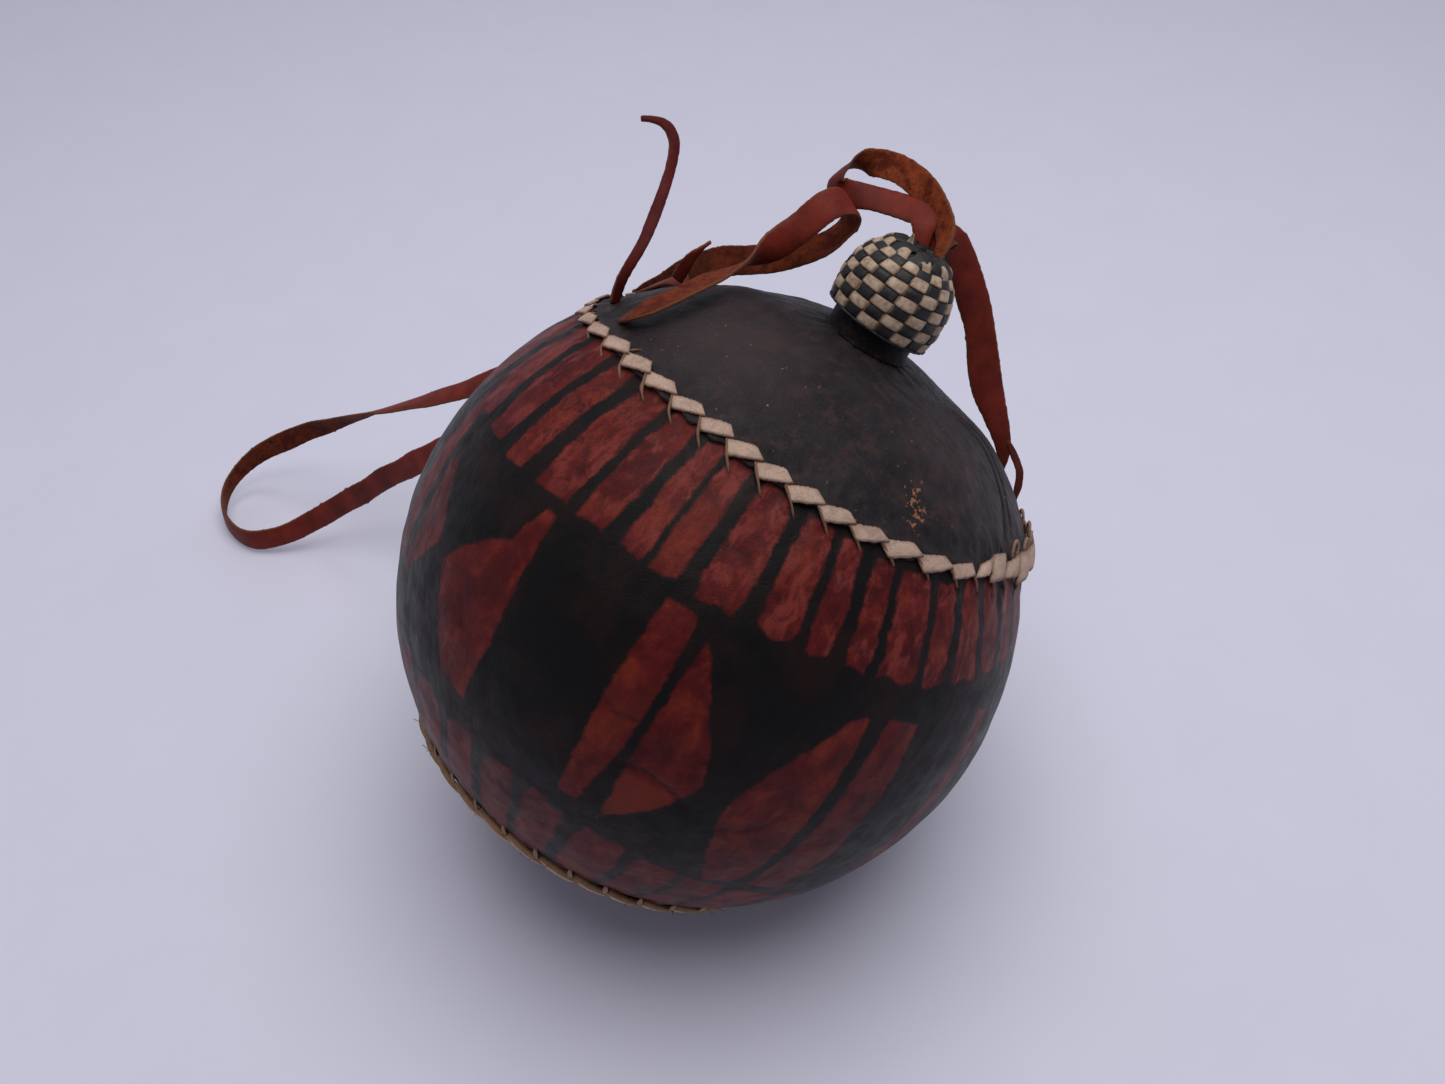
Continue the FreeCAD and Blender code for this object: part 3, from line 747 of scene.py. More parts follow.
def body_cover():
    outer = np.linspace(LOWER_SEAM + 0.2, UPPER_SEAM + 0.4, 146)
    inner = np.linspace(UPPER_SEAM + 0.4, LOWER_SEAM + 0.2, 10)

    def shift(lon, lat, outside):
        height = (lumps(lon, lat, 1, (0.22, 50), (0.06, 15), (0.02, 5))
                  + puckers(lon - hand_drift(lon), lat, HOLE_BELOW, UPPER_PITCH, UPPER_PHASE)
                  + puckers(lon, lat, LOWER_SEAM + HOLE_OFF_SEAM, LOWER_PITCH, 0.0)
                  - creases(lon, lat, CREASES))
        return np.where(outside, height, 0.0), lat

    def line(lon, lat):
        """Painted shade in the creases, and in a groove above the lower seam."""
        total = 0.8 * stroke_field(lon, lat, GROOVE, 0.7)
        for stroke, width, depth in CREASES:
            total = np.maximum(total, 2.0 * depth * stroke_field(lon, lat, stroke, width * 0.8))
        return np.clip(total, 0, 1)

    def glow(lon, lat):
        """Where the red is brighter: a rubbed lower half of one diamond and a few panels."""
        low_half = (soft_step(-9.2 - lat, 0, 2) * bump_at(gap_between(lon, 223), 6)
                    * soft_step(lat, -22, -18))
        panels = (0.4 * spot(lon, lat, (174, 31), (6.67, 8))
                  + 0.3 * spot(lon, lat, (207.5, 27), (3.5, 8))
                  + 0.35 * spot(lon, lat, (213.5, -3), (3, 6)))
        patch_left = 0.8 * stroke_field(lon, lat, [(137, 32), (140, 34)], 1.6)
        return patch_left + np.clip(0.55 * low_half + panels, 0, 0.6)

    def upper(lon, lat):
        return soft_step(lat, 14, 24)

    def cracked(lon, lat):
        return 0.12 + 0.75 * spot(lon, lat, (177, 29), (11, 9))

    piece = closed_cover("body_cover", outer, inner, shift,
                         {"dye": (dye_distance, -DYE_LIMIT), "line": (line, 0), "glow": (glow, 0),
                          "upper": (upper, 0), "cracked": (cracked, 0)})
    finish_piece(piece, "flask", "painted_leather", painted_leather(), "body_leather")


def top_edge_latitude(lon):
    """The cut edge of the top leather, wavy and pulled down between the stitches."""
    turn = np.mod(lon, 360)
    overlap = np.interp(turn, [0, 165, 200, 225, 240, 260, 268, 300, 360],
                        [1.0, 0.2, 0.6, 1.3, 2.0, 2.0, 0.5, 0.3, 1.0])
    beat = (lon - hand_drift(lon) - UPPER_PHASE - 2.6) / UPPER_PITCH * 2 * math.pi
    return UPPER_SEAM - 0.1 - overlap * (0.75 + 0.25 * np.cos(beat)) + 0.18 * wiggle(turn, 6, 41)


def top_cover():
    steps = np.linspace(0, 1, 96)
    outer = UPPER_SEAM + (NECK_EDGE - UPPER_SEAM) * (0.35 * steps + 0.65 * steps ** 1.15)
    inner = np.linspace(NECK_EDGE, UPPER_SEAM, 10)

    def shift(lon, lat, outside):
        share = np.clip((lat - UPPER_SEAM) / 5, 0, 1)
        new_lat = lat + (1 - share) ** 2 * (top_edge_latitude(lon) - UPPER_SEAM)
        lift = 0.95 * soft_step(-(new_lat - 42.5), 0, 1.6)
        to_neck = (NECK_EDGE - lat) * PER_DEGREE
        radial = wiggle(np.radians(lon) * 13 + 0.04 * to_neck, 4.0, 54)
        height = (lumps(lon, lat, 51, (0.26, 44), (0.08, 13), (0.03, 4))
                  + puckers(lon - hand_drift(lon), lat, HOLE_ABOVE, UPPER_PITCH,
                            UPPER_PHASE + 6.8, 2.6)
                  + 0.10 * radial * np.exp(-to_neck / 9.0) + 0.35 * np.exp(-to_neck / 1.2)
                  - creases(lon, lat, TOP_CREASES))
        height = height * soft_step(lat, UPPER_SEAM - 3, UPPER_SEAM + 2) + lift
        return np.where(outside, height, lift), new_lat

    def scuff(lon, lat):
        return stroke_field(lon, lat, [(246.4, 49.2), (248.4, 46.4)], 4.4)

    def blush(lon, lat):
        return (0.5 * stroke_field(lon, lat, [(183, 64.5), (185.5, 64)], 3.6)
                + 0.25 * stroke_field(lon, lat, [(268, 58), (272, 57)], 4.0))

    # Painted sheen: where the top leather is made lighter, as if it caught the lamp.
    def painted_sheen(lon, lat):
        return (0.75 * spot(lon, lat, (178, 58), (26, 13))
                + 0.30 * spot(lon, lat, (262, 60), (22, 12)))

    piece = closed_cover("top_cover", outer, inner, shift,
                         {"scuff": (scuff, 0), "blush": (blush, 0), "painted_sheen": (painted_sheen, 0)})
    finish_piece(piece, "flask", "black_leather", black_leather(), "top_leather")


def bottom_cover():
    outer = np.linspace(-90, LOWER_SEAM - 0.2, 52)
    inner = np.linspace(LOWER_SEAM - 0.2, -90, 8)

    def shift(lon, lat, outside):
        height = (lumps(lon, lat, 61, (0.2, 44), (0.06, 12))
                  + puckers(lon, lat, LOWER_SEAM - HOLE_OFF_SEAM, LOWER_PITCH, 4.0))
        return np.where(outside, height, 0.0), lat

    def dye(lon, lat):
        ring = np.minimum(-56 - lat, lat + 84) * PER_DEGREE
        for index in range(BOTTOM_LINES):
            line = 360 * (index + 0.5) / BOTTOM_LINES + 4 * math.sin(3 * index)
            away = np.abs(gap_between(lon, line)) - 3
            ring = np.minimum(ring, away * round_scale(lat))
        return np.clip(ring + 0.3 * wiggle(lon, 9, 63), -DYE_LIMIT, DYE_LIMIT)

    piece = closed_cover("bottom_cover", outer, inner, shift, {"dye": (dye, -DYE_LIMIT)})
    mesh = bmesh.new()
    mesh.from_mesh(piece.data)
    bmesh.ops.remove_doubles(mesh, verts=mesh.verts, dist=0.02 * MM)
    mesh.to_mesh(piece.data)
    mesh.free()
    finish_piece(piece, "flask", "bottom_leather", painted_leather(), "bottom_leather")


# ---- lacing -------------------------------------------------------------------------------
LOWEST = 0.2 * MM
PATCH_ACROSS = 7                             # points across and along one stitch
PATCH_ALONG = 18
LOOSE_AT = 291                               # longitude where the upper lacing stands up
LOOPS_FROM = 276                             # and from where it also leaves small loops
TUFTS_TO = 215                               # up to here it has frayed tufts
BULKY_AT = 165                               # longitude where the lower stitches are fullest
# Corners of a stitch: longitude from its hole, and latitude.  The upper ones run left, upper
# right, lower right, lower left; the lower ones, measured from their seam, run left to right.
FLAT_STITCH = np.array([(-3.5, 40.9), (3.1, 42.5), (6.0, 41.0), (-0.9, 38.8)])
UPRIGHT_STITCH = np.array([(-0.2, 42.6), (6.0, 43.3), (4.6, 40.2), (-2.6, 38.8)])
LOWER_STITCH = np.array([(-5.2, 1.6), (-6.0, -0.4), (6.4, 0.6), (5.2, -1.5)])


def strays(rng, reach):
    """Random shifts of a stitch's four corners, in degrees."""
    return np.array([rng.uniform(-reach, reach) for _ in range(8)]).reshape(4, 2)


def keep_off_floor(points):
    points[..., 2] = np.maximum(points[..., 2], LOWEST)
    return points


def patch(heap, corners, thickness, crown, ends, seed, worn=0.0):
    """A domed strip of thong between four corners on the ball.

    The corners run left, upper right, lower right, lower left; heights go from the first end to
    the last with a crown between them.
    """
    rng = np.random.default_rng(seed)
    u, v = np.meshgrid(np.linspace(0, 1, PATCH_ALONG), np.linspace(0, 1, PATCH_ACROSS), indexing="ij")
    top_left, top_right, low_right, low_left = corners
    v_wide = v + (v - 0.5) * 0.04 * np.sin(math.pi * u)
    place = ((1 - u)[..., None] * ((1 - v_wide)[..., None] * low_left + v_wide[..., None] * top_left)
             + u[..., None] * ((1 - v_wide)[..., None] * low_right + v_wide[..., None] * top_right))
    first, last = ends
    height = first + (last - first) * u + crown * np.sin(math.pi * u) ** 0.8
    height = height + 0.10 * (1 - np.abs(2 * v - 1) ** 4) + rng.uniform(-0.08, 0.08)
    edge = np.abs(v - 0.5) * 2
    place[..., 1] += 0.05 * rng.normal(size=v.shape) * (edge > 0.9)
    upper = keep_off_floor(on_ball(place[..., 0], place[..., 1], height))
    lower = keep_off_floor(on_ball(place[..., 0], place[..., 1], height - thickness))
    wear = np.clip(0.7 * edge ** 6 + worn + 0.5 * (np.abs(u - 0.5) * 2) ** 8, 0, 1)
    heap.strip(upper, lower, worn=wear)


def strand(heap, line, width, thickness, seed, worn, taper, sides=8):
    """A small tapering strip along points in metres; worn goes into its attribute."""
    rng = np.random.default_rng(seed)
    line = np.asarray(line)
    tangent = unit(np.gradient(line, axis=0))
    out = unit(line - CENTRE)
    side = unit(np.cross(tangent, out))
    out = unit(np.cross(side, tangent))
    share = np.linspace(0, 1, len(line))
    wide = width * MM * (taper + (1 - taper) * np.sin(math.pi * np.clip(share, 0.02, 0.98)))
    wide = wide * (1 + 0.12 * rng.normal(size=len(line)))
    angle = np.linspace(0, 2 * math.pi, sides, endpoint=False)
    ring = (line[:, None] + (wide[:, None] / 2 * np.cos(angle))[..., None] * side[:, None]
            + (thickness * MM / 2 * np.sin(angle))[None, :, None] * out[:, None])
    heap.add(keep_off_floor(ring), tube_faces(len(line), sides), worn=worn)


def upper_hole(index):
    """Longitude of a hole below the seam: even, apart from the hand's drift."""
    hole = UPPER_PHASE + index * UPPER_PITCH
    return hole + hand_drift(hole)


def upper_lacing():
    """Whipped lacing: a flat thong that rises from each hole and turns over to the next."""
    heap = Heap("worn")
    rng = random.Random(71)
    share = np.linspace(0, 1, 9)
    for index in range(UPPER_STITCHES):
        hole = upper_hole(index)
        pitch = (upper_hole(index + 1) - hole) if index < UPPER_STITCHES - 1 else UPPER_PITCH
        stretch = pitch / UPPER_PITCH
        loose = soft_step(abs(gap_between(hole, LOOSE_AT)), 34, 22)
        lift = np.interp(hole % 360, [100, 140, 156, 166, 185, 200, 215, 235, 260, 275, 300],
                         [0, -2.4, -0.6, 0.5, 1.0, 0.9, -0.2, -1.0, -1.0, 0.4, 0])
        shape = (1 - loose) * FLAT_STITCH + loose * UPRIGHT_STITCH
        corners = shape * (stretch, 1) + (hole, lift) + strays(rng, 0.2 + 0.7 * loose)
        patch(heap, corners, 0.7, 0.25 + 0.9 * loose, (1.35, 2.05), 1000 + index)
        # The dark stem down each stitch's left edge to its hole: the thong's stained edge, made fully
        # dark so that it also stands in for painted shade under the stitch.
        foot = np.interp(hole, [190, 215], [38.0, HOLE_BELOW - 0.2])
        edge_lon = hole + stretch * np.interp(share, [0, 0.55, 1], [-3.4, -0.9, 1.5])
        edge_lat = lift * (1 - share) + np.interp(share, [0, 0.55, 1], [40.8, 38.8, foot])
        edge_height = 1.4 - 0.6 * share - 1.5 * share ** 5
        strand(heap, on_ball(edge_lon, edge_lat, edge_height), 0.9, 0.9, 1100 + index, 1.0, 0.6)
        if rng.random() < 0.45 and hole < TUFTS_TO:
            tuft_lon = hole + 5.0 + 0.6 * share
            tuft_lat = 41.6 + lift + 2.0 * share * rng.uniform(0.8, 1.2)
            strand(heap, on_ball(tuft_lon, tuft_lat, 1.1 - 1.1 * share ** 2), 0.9, 0.5,
                   1200 + index, 1.0, 0.4)
        if loose > 0.3 and hole % 360 > LOOPS_FROM:
            loop_angle = np.radians(np.linspace(-70, 260, 20) + rng.uniform(-30, 30))
            loop_lon = hole + 4.6 + 1.6 * np.cos(loop_angle)
            loop_lat = 42.9 + lift + rng.uniform(1.2, 2.0) * (0.4 + np.sin(loop_angle))
            strand(heap, on_ball(loop_lon, loop_lat, 1.7 + 0.9 * np.sin(loop_angle)), 1.1, 1.0,
                   1300 + index, 0.7, 0.8)
    # The dark colour serves for real dirt and for the stems' painted shade.
    thong = pale_thong("upper_thong", (0.51, 0.355, 0.275), (0.13, 0.050, 0.020), 0.85)
    finish_piece(heap.piece("upper_lacing_thong"), "flask", "upper_lacing", thong,
                 "upper_seam_lacing")


def lower_lacing():
    """Narrower, darker and rougher lacing round the foot of the ball."""
    heap = Heap("worn")
    rng = random.Random(81)
    for index in range(LOWER_STITCHES):
        hole = index * LOWER_PITCH
        bulk = bump_at(gap_between(hole, BULKY_AT), 45)
        shape = (LOWER_STITCH + strays(rng, 0.5)) * (1, 1 + 0.5 * bulk)
        corners = (shape + (hole, LOWER_SEAM))[[0, 2, 3, 1]]
        patch(heap, corners, 1.9, 0.5 + 0.5 * bulk, (1.3, 1.9), 2000 + index, worn=0.10)
        share = np.linspace(0, 1, 7)
        for side_of_seam in (-1, 1):
            stem_lon = hole + side_of_seam * (4.0 - 1.5 * share)
            stem_lat = LOWER_SEAM + side_of_seam * (0.8 + (HOLE_OFF_SEAM - 0.8) * share)
            strand(heap, on_ball(stem_lon, stem_lat, 1.3 - 1.5 * share ** 2), 1.8, 0.8,
                   2100 + 2 * index + side_of_seam, 0.9, 0.5)
        for fibre in range(4):
            start = hole + rng.uniform(-5, 5)
            lean = rng.uniform(-3, 3)
            rise = rng.uniform(0.3, 2.6)
            fibre_lat = LOWER_SEAM + rng.uniform(-1.5, 1.5) + rng.uniform(-2.5, 2.5) * share
            strand(heap, on_ball(start + lean * share, fibre_lat, 1.0 + rise * share), 0.3, 0.25,
                   2200 + 4 * index + fibre, 1.0, 0.1, sides=5)
    thong = pale_thong("lower_thong", (0.56, 0.37, 0.23), (0.18, 0.080, 0.038), 0.7)
    finish_piece(heap.piece("lower_lacing_thong"), "flask", "lower_lacing", thong,
                 "lower_seam_lacing")


# ---- neck and stopper ---------------------------------------------------------------------
CAP_PROFILE = np.array([(15.4, 106.5), (16.2, 111.0), (16.15, 116.3), (15.2, 120.8),
                        (13.3, 124.4), (10.8, 126.9)])
CAP_ROWS = 7
CAP_COLUMNS = 18
CAP_TWIST = 12                               # degrees that the strips lean round the cap
UPRIGHT_SHARE = 0.80                         # width of an upright strip over its pitch
SKIRT_FOOT = 105.6
CROWN_FOOT = 127.6
CROWN_TOP = 130.5
CROWN_RADIUS = 11.8
CROWN_UNDERSIDE = 126.5
PETALS = 9
DROOP = 0.030                                # how far the cap sits askew, lower on the right
TO_RIGHT = RIGHT - (RIGHT @ NECK) * NECK
STAINED_ROW = 2                              # one hoop has a red stain
STAIN_ANGLE = 232
HEM_RADIUS = 15.6
HEM_ROLL = (1.15, 0.45)                      # half the width and half the height of the hem's roll
STRIP_HALF = 0.3                             # half the thickness of a plaited strip
KNOT_FOCUS = CENTRE + 0.112 * NECK           # the crown's strips bow away from this point
TAG_ANGLE = 180.0
TAG_RADIUS = 5.9                             # from the axis to the tag's root
TAG_LENGTH = 3.6
SLEEVE_FOOT = 99.2
SLEEVE_TOP = 112.6
SLEEVE_RADIUS = 13.2
SLEEVE_BORE = 12.0                           # radius inside


def askew(points):
    """Let the soft cap hang lower on one side."""
    reach = points - CENTRE
    height = reach @ NECK / MM
    side = reach @ TO_RIGHT / np.linalg.norm(TO_RIGHT)
    share = 1 - 0.6 * soft_step(height, 113, 128)
    return points - (DROOP * share * side)[..., None] * NECK


def cap_surface(share, angle, offset):
    """Points of the cap: share of its profile from skirt to crown, angle, and height over it."""
    runs = np.linalg.norm(np.diff(CAP_PROFILE, axis=0), axis=1)
    marks = np.concatenate([[0], np.cumsum(runs)]) / runs.sum()
    radius = np.interp(share, marks, CAP_PROFILE[:, 0])
    height = np.interp(share, marks, CAP_PROFILE[:, 1])
    slope_r = np.interp(share, (marks[1:] + marks[:-1]) / 2, np.diff(CAP_PROFILE[:, 0]) / runs)
    slope_h = np.interp(share, (marks[1:] + marks[:-1]) / 2, np.diff(CAP_PROFILE[:, 1]) / runs)
    angle = angle + CAP_TWIST * share
    return askew(about_axis(angle, radius + offset * slope_h, height - offset * slope_r))


def weave_height(share, column):
    """1 where a hoop lies over an upright strip and -1 where it dives under it."""
    return squarish(np.cos(math.pi * (share * CAP_ROWS - 0.5 + column)), 0.5)


def cap_uprights():
    """Black strips that run from the skirt to the crown, over and under the cream hoops."""
    heap = Heap()
    rng = random.Random(91)
    step = 360 / CAP_COLUMNS
    share = np.linspace(0.0, 1.0, CAP_ROWS * 12 + 1)
    v = np.linspace(-1, 1, 9)
    bulge = 0.10 * (1 - v ** 4)
    wide = UPRIGHT_SHARE + (0.94 - UPRIGHT_SHARE) * soft_step(share, 0.6, 1.0)
    for column in range(CAP_COLUMNS):
        centre = (column + 0.5) * step + rng.uniform(-0.8, 0.8) * np.sin(3 * share)
        half = step / 2 * (wide + 0.03 * rng.uniform(-1, 1)) * (1 + 0.03 * wiggle(share, 0.1, column))
        angle = centre[:, None] + half[:, None] * v
        middle = 0.60 - 0.36 * weave_height(share, column) + rng.uniform(-0.04, 0.04)
        upper = cap_surface(share[:, None], angle, middle[:, None] + bulge + 0.22)
        lower = cap_surface(share[:, None], angle, middle[:, None] - STRIP_HALF)
        heap.strip(upper, lower)
    finish_piece(heap.piece("cap_upright_strips"), "stopper", "dark_strip",
                 plait_black("hoop_black"), "cap_dark_cells")


def cap_hoops():
    """Cream strips round the cap, under and over the black ones."""
    heap = Heap("worn", "stain")
    along = CAP_COLUMNS * 16
    angle = np.linspace(0, 360, along, endpoint=False)
    column = angle / 360 * CAP_COLUMNS - 0.5
    v = np.linspace(-1, 1, 9)
    for row in range(CAP_ROWS):
        middle = (row + 0.5) / CAP_ROWS
        rise = weave_height(middle, column)
        wide = 0.475 / CAP_ROWS * (1 + 0.03 * wiggle(angle, 40, row) + 0.05 * rise)
        share = np.clip(middle + v * wide[:, None], 0.002, 0.998)
        offset = 0.66 + 0.44 * rise[:, None]
        upper = cap_surface(share, angle[:, None], offset + 0.12 * (1 - v ** 4) + 0.27)
        lower = cap_surface(share, angle[:, None], offset - STRIP_HALF)
        # Real wear at the hoop's edges, and painted shade where it sinks to pass under a black strip.
        worn = np.clip(0.9 * np.abs(v) ** 6 + 0.9 * soft_step(-rise, -0.75, 0.2)[:, None], 0, 1)
        stain = 0 * worn
        if row == STAINED_ROW:
            stain = bump_at(gap_between(angle, STAIN_ANGLE), 2.5)[:, None] * bump_at(v - 0.2, 0.7)
        heap.add(both_sides(upper, lower), grid_faces(along, 2 * len(v), wrap_rows=True),
                 worn=both_sides(worn, worn), stain=both_sides(stain, stain))
    finish_piece(heap.piece("cap_hoop_strips"), "stopper", "light_strip",
                 cap_cream("cap_cream"), "cap_light_cells")


def cap_hem():
    """The turned black edge of the skirt, whipped with a thin strip on the real cap, drawn as a roll
    with small ridges round it.
    """
    angle = np.linspace(0, 360, 300, endpoint=False)[:, None]
    turn = np.linspace(0, 2 * math.pi, 14, endpoint=False)
    pleat = 0.10 * np.cos(np.radians(angle) * 40) + 0.12 * wiggle(angle, 30, 95)
    half_width, half_height = HEM_ROLL
    radius = HEM_RADIUS + (half_width + pleat) * squarish(np.cos(turn), 0.6)
    height = (SKIRT_FOOT + half_height + 0.05 * wiggle(angle, 50, 96)
              + half_height * squarish(np.sin(turn), 0.6))
    piece = new_piece("cap_hem_roll", askew(about_axis(angle, radius, height)),
                      grid_faces(len(angle), len(turn), wrap_rows=True))
    finish_piece(piece, "stopper", "hem_leather", plait_black("hem_black"), "cap_hem")


def crown_height(radius):
    """Height of the crown's dome at a distance from the axis."""
    share = np.clip(radius / CROWN_RADIUS, 0, 1)
    return CROWN_FOOT + (CROWN_TOP - CROWN_FOOT) * np.sqrt(1 - share ** 2.6)


def crown():
    """A lumpy knot of black strips that are folded in from the edge, over a low dome."""
    heap = Heap()
    radius = np.linspace(0.05, 1, 26) * (CROWN_RADIUS - 0.5)
    angle = np.linspace(0, 360, 90, endpoint=False)
    r, a = np.meshgrid(radius, angle, indexing="ij")
    unevenness = (0.22 * np.cos(np.radians(a) * 10) * (r / CROWN_RADIUS)
                  + 0.2 * wiggle(a + 30 * r, 70, 97))
    top = about_axis(a, r, crown_height(r) - 0.7 + unevenness)
    foot = about_axis(a[-1:], r[-1:] - 0.6, CROWN_UNDERSIDE)
    floor = about_axis(a[:1], 0.05, CROWN_UNDERSIDE)
    heap.add(np.concatenate([top, foot, floor]), tube_faces(len(radius) + 2, len(angle)))
    rng = random.Random(98)
    reach = np.linspace(0, 1, 26)
    turn_round = np.linspace(0, 2 * math.pi, 14, endpoint=False)
    x = squarish(np.cos(turn_round), 0.6)
    y = squarish(np.sin(turn_round), 0.7)
    for index in range(PETALS):
        sweep = 46 + rng.uniform(-10, 10)
        far = CROWN_RADIUS + 0.1 - (CROWN_RADIUS - 1.6 - 0.8 * (index % 3)) * reach
        turn = 360 * (index + 0.5) / PETALS + sweep * reach ** 1.4
        arch = np.sin(math.pi * np.clip(reach * 1.05, 0, 1)) ** 0.7
        over = 0.15 + 0.9 * arch * (0.7 + 0.15 * (index % 3))
        height = crown_height(far) + over - 0.5 - 1.9 * (1 - reach) ** 6
        line = about_axis(turn, far, height)
        tangent = unit(np.gradient(line, axis=0))
        out = unit(line - KNOT_FOCUS)
        side = unit(np.cross(tangent, out))
        wide = (2.7 - 0.9 * reach) * (1 + 0.10 * wiggle(reach, 0.3, index))
        rows = (line[:, None] + (wide[:, None] * x)[..., None] * MM * side[:, None]
                + (0.55 * y - 0.16 * x ** 2)[:, None] * MM * out[:, None])
        heap.add(rows, tube_faces(len(reach), len(x)))
    finish_piece(heap.piece("crown_knot"), "stopper", "crown_leather",
                 plait_black("crown_black"), "cap_crown")


def petals():
    """Ends of the cream strips, folded over the crown's edge between the black ones."""
    heap = Heap("worn")
    rng = random.Random(99)
    reach = np.linspace(0, 1, 10)
    v = np.linspace(-1, 1, 7)
    edge = np.clip(np.abs(v) ** 4 + (np.abs(reach[:, None] - 0.5) * 2) ** 6, 0, 1) * 0.8
    for index in range(PETALS):
        centre = 360 * index / PETALS + rng.uniform(-4, 4)
        far = 12.1 - rng.uniform(2.0, 3.2) * reach
        height = crown_height(far)[:, None] + 0.45 - 1.2 * (1 - reach[:, None]) ** 3
        half = (11.0 - 3.5 * reach) * rng.uniform(0.8, 1.1)
        angle = centre + half[:, None] * v
        upper = about_axis(angle, far[:, None], height + 0.22 * (1 - v ** 2))
        lower = about_axis(angle, far[:, None] - 0.2, height - 0.55)
        heap.strip(upper, lower, worn=edge)
    finish_piece(heap.piece("crown_petal_ends"), "stopper", "petal_strip",
                 cap_cream("petal_cream"), "crown_petals")


def tag():
    """A small curled point of pale leather on the crown."""
    heap = Heap("worn")
    reach = np.linspace(0, 1, 12)
    base = about_axis(TAG_ANGLE, TAG_RADIUS, CROWN_TOP - 0.4)
    curl = 0.9 * MM * reach ** 2
    line = base + np.outer(reach * TAG_LENGTH * MM, NECK) - np.outer(curl, NECK_SIDE)
    wide = 1.35 * (1 - reach) ** 0.8 + 0.12
    v = np.linspace(-1, 1, 5)
    upper = (line[:, None] + (wide[:, None] * v)[..., None] * MM * NECK_ACROSS
             + (0.35 * (1 - v ** 2))[:, None] * MM * NECK_SIDE)
    heap.strip(upper, upper - 0.45 * MM * NECK_SIDE, worn=0.35 * reach[:, None] + 0 * v)
    finish_piece(heap.piece("crown_point"), "stopper", "tag_strip", cap_cream("tag_cream"),
                 "crown_tag")


def sleeve():
    """Black leather round the neck, a little wrinkled and flared where it meets the ball."""
    angle = np.linspace(0, 360, 180, endpoint=False)
    outer_height = np.concatenate([np.linspace(SLEEVE_FOOT, SLEEVE_TOP - 0.4, 34),
                                   [SLEEVE_TOP - 0.1, SLEEVE_TOP]])
    h, a = np.meshgrid(outer_height, angle, indexing="ij")
    flare = 0.35 * np.exp(-(h - SLEEVE_FOOT) / 0.8)
    radius = SLEEVE_RADIUS + flare + 0.10 * waves(about_axis(a, 13, h), 8, 101)
    rounded = np.where(h > SLEEVE_TOP - 0.3, radius - 0.35, radius)
    outer = about_axis(a, rounded, h)
    h, a = np.meshgrid(np.linspace(SLEEVE_TOP, SLEEVE_FOOT, 8), angle, indexing="ij")
    points = np.concatenate([outer, about_axis(a, SLEEVE_BORE, h)])
    piece = new_piece("sleeve_cover", points,
                      grid_faces(len(points), len(angle), wrap_rows=True))
    material = black_leather("sleeve_black", base=(0.0036, 0.0031, 0.0034))
    finish_piece(piece, "flask", "sleeve_leather", material, "neck_sleeve")


# ---- straps -------------------------------------------------------------------------------
SPACING = 0.9 * MM                           # between the rings of a strap
STRAP_SIDES = 22                             # points of one ring


def smooth_line(route):
    """Evenly spaced points along the NURBS spline of a route given in millimetres."""
    curve = bpy.data.curves.new("route", "CURVE")
    curve.dimensions = "3D"
    curve.resolution_u = 24
    spline = curve.splines.new("NURBS")
    spline.points.add(len(route) - 1)
    for point, place in zip(spline.points, route):
        point.co = (place[0] * MM, place[1] * MM, place[2] * MM, 1)
    spline.order_u = 3
    spline.use_endpoint_u = True
    holder = bpy.data.objects.new("route", curve)
    mesh = bpy.data.meshes.new_from_object(holder)
    points = np.array([vertex.co for vertex in mesh.vertices])
    bpy.data.objects.remove(holder)
    bpy.data.curves.remove(curve)
    bpy.data.meshes.remove(mesh)
    runs = np.concatenate([[0], np.cumsum(np.linalg.norm(np.diff(points, axis=0), axis=1))])
    count = max(int(runs[-1] / SPACING), 8)
    marks = np.linspace(0, runs[-1], count)
    return np.stack([np.interp(marks, runs, points[:, axis]) for axis in range(3)], 1), runs[-1]


def turned_frames(line, route, facings):
    """Unit vectors square to a strap's grain side and across it, turned to face as asked.

    facings is a list of (index of a route point, direction that the grain side faces there).
    """
    tangent = unit(np.gradient(line, axis=0))
    normal = np.zeros(line.shape)
    start = np.cross(tangent[0], UP)
    if np.linalg.norm(start) < 0.1:
        start = np.cross(tangent[0], RIGHT)
    normal[0] = unit(start)
    for index in range(1, len(line)):
        carried = normal[index - 1] - tangent[index] * (normal[index - 1] @ tangent[index])
        normal[index] = unit(carried)
    side = np.cross(tangent, normal)
    marks, angles = [], []
    for point, way in facings:
        nearest = int(np.argmin(np.linalg.norm(line - np.array(route[point]) * MM, axis=1)))
        angle = math.atan2(np.dot(way, side[nearest]), np.dot(way, normal[nearest]))
        if angles:
            angle = angles[-1] + (angle - angles[-1] + math.pi) % (2 * math.pi) - math.pi
        marks.append(nearest)
        angles.append(angle)
    order = np.argsort(marks)
    turn = np.interp(np.arange(len(line)), np.array(marks)[order], np.array(angles)[order])
    reach = max(3, int(5 * MM / SPACING))
    window = np.hanning(2 * reach + 1)
    padded = np.pad(turn, reach, mode="edge")
    turn = np.convolve(padded, window / window.sum(), "valid")
    grain = normal * np.cos(turn)[:, None] + side * np.sin(turn)[:, None]
    return grain, np.cross(tangent, grain)


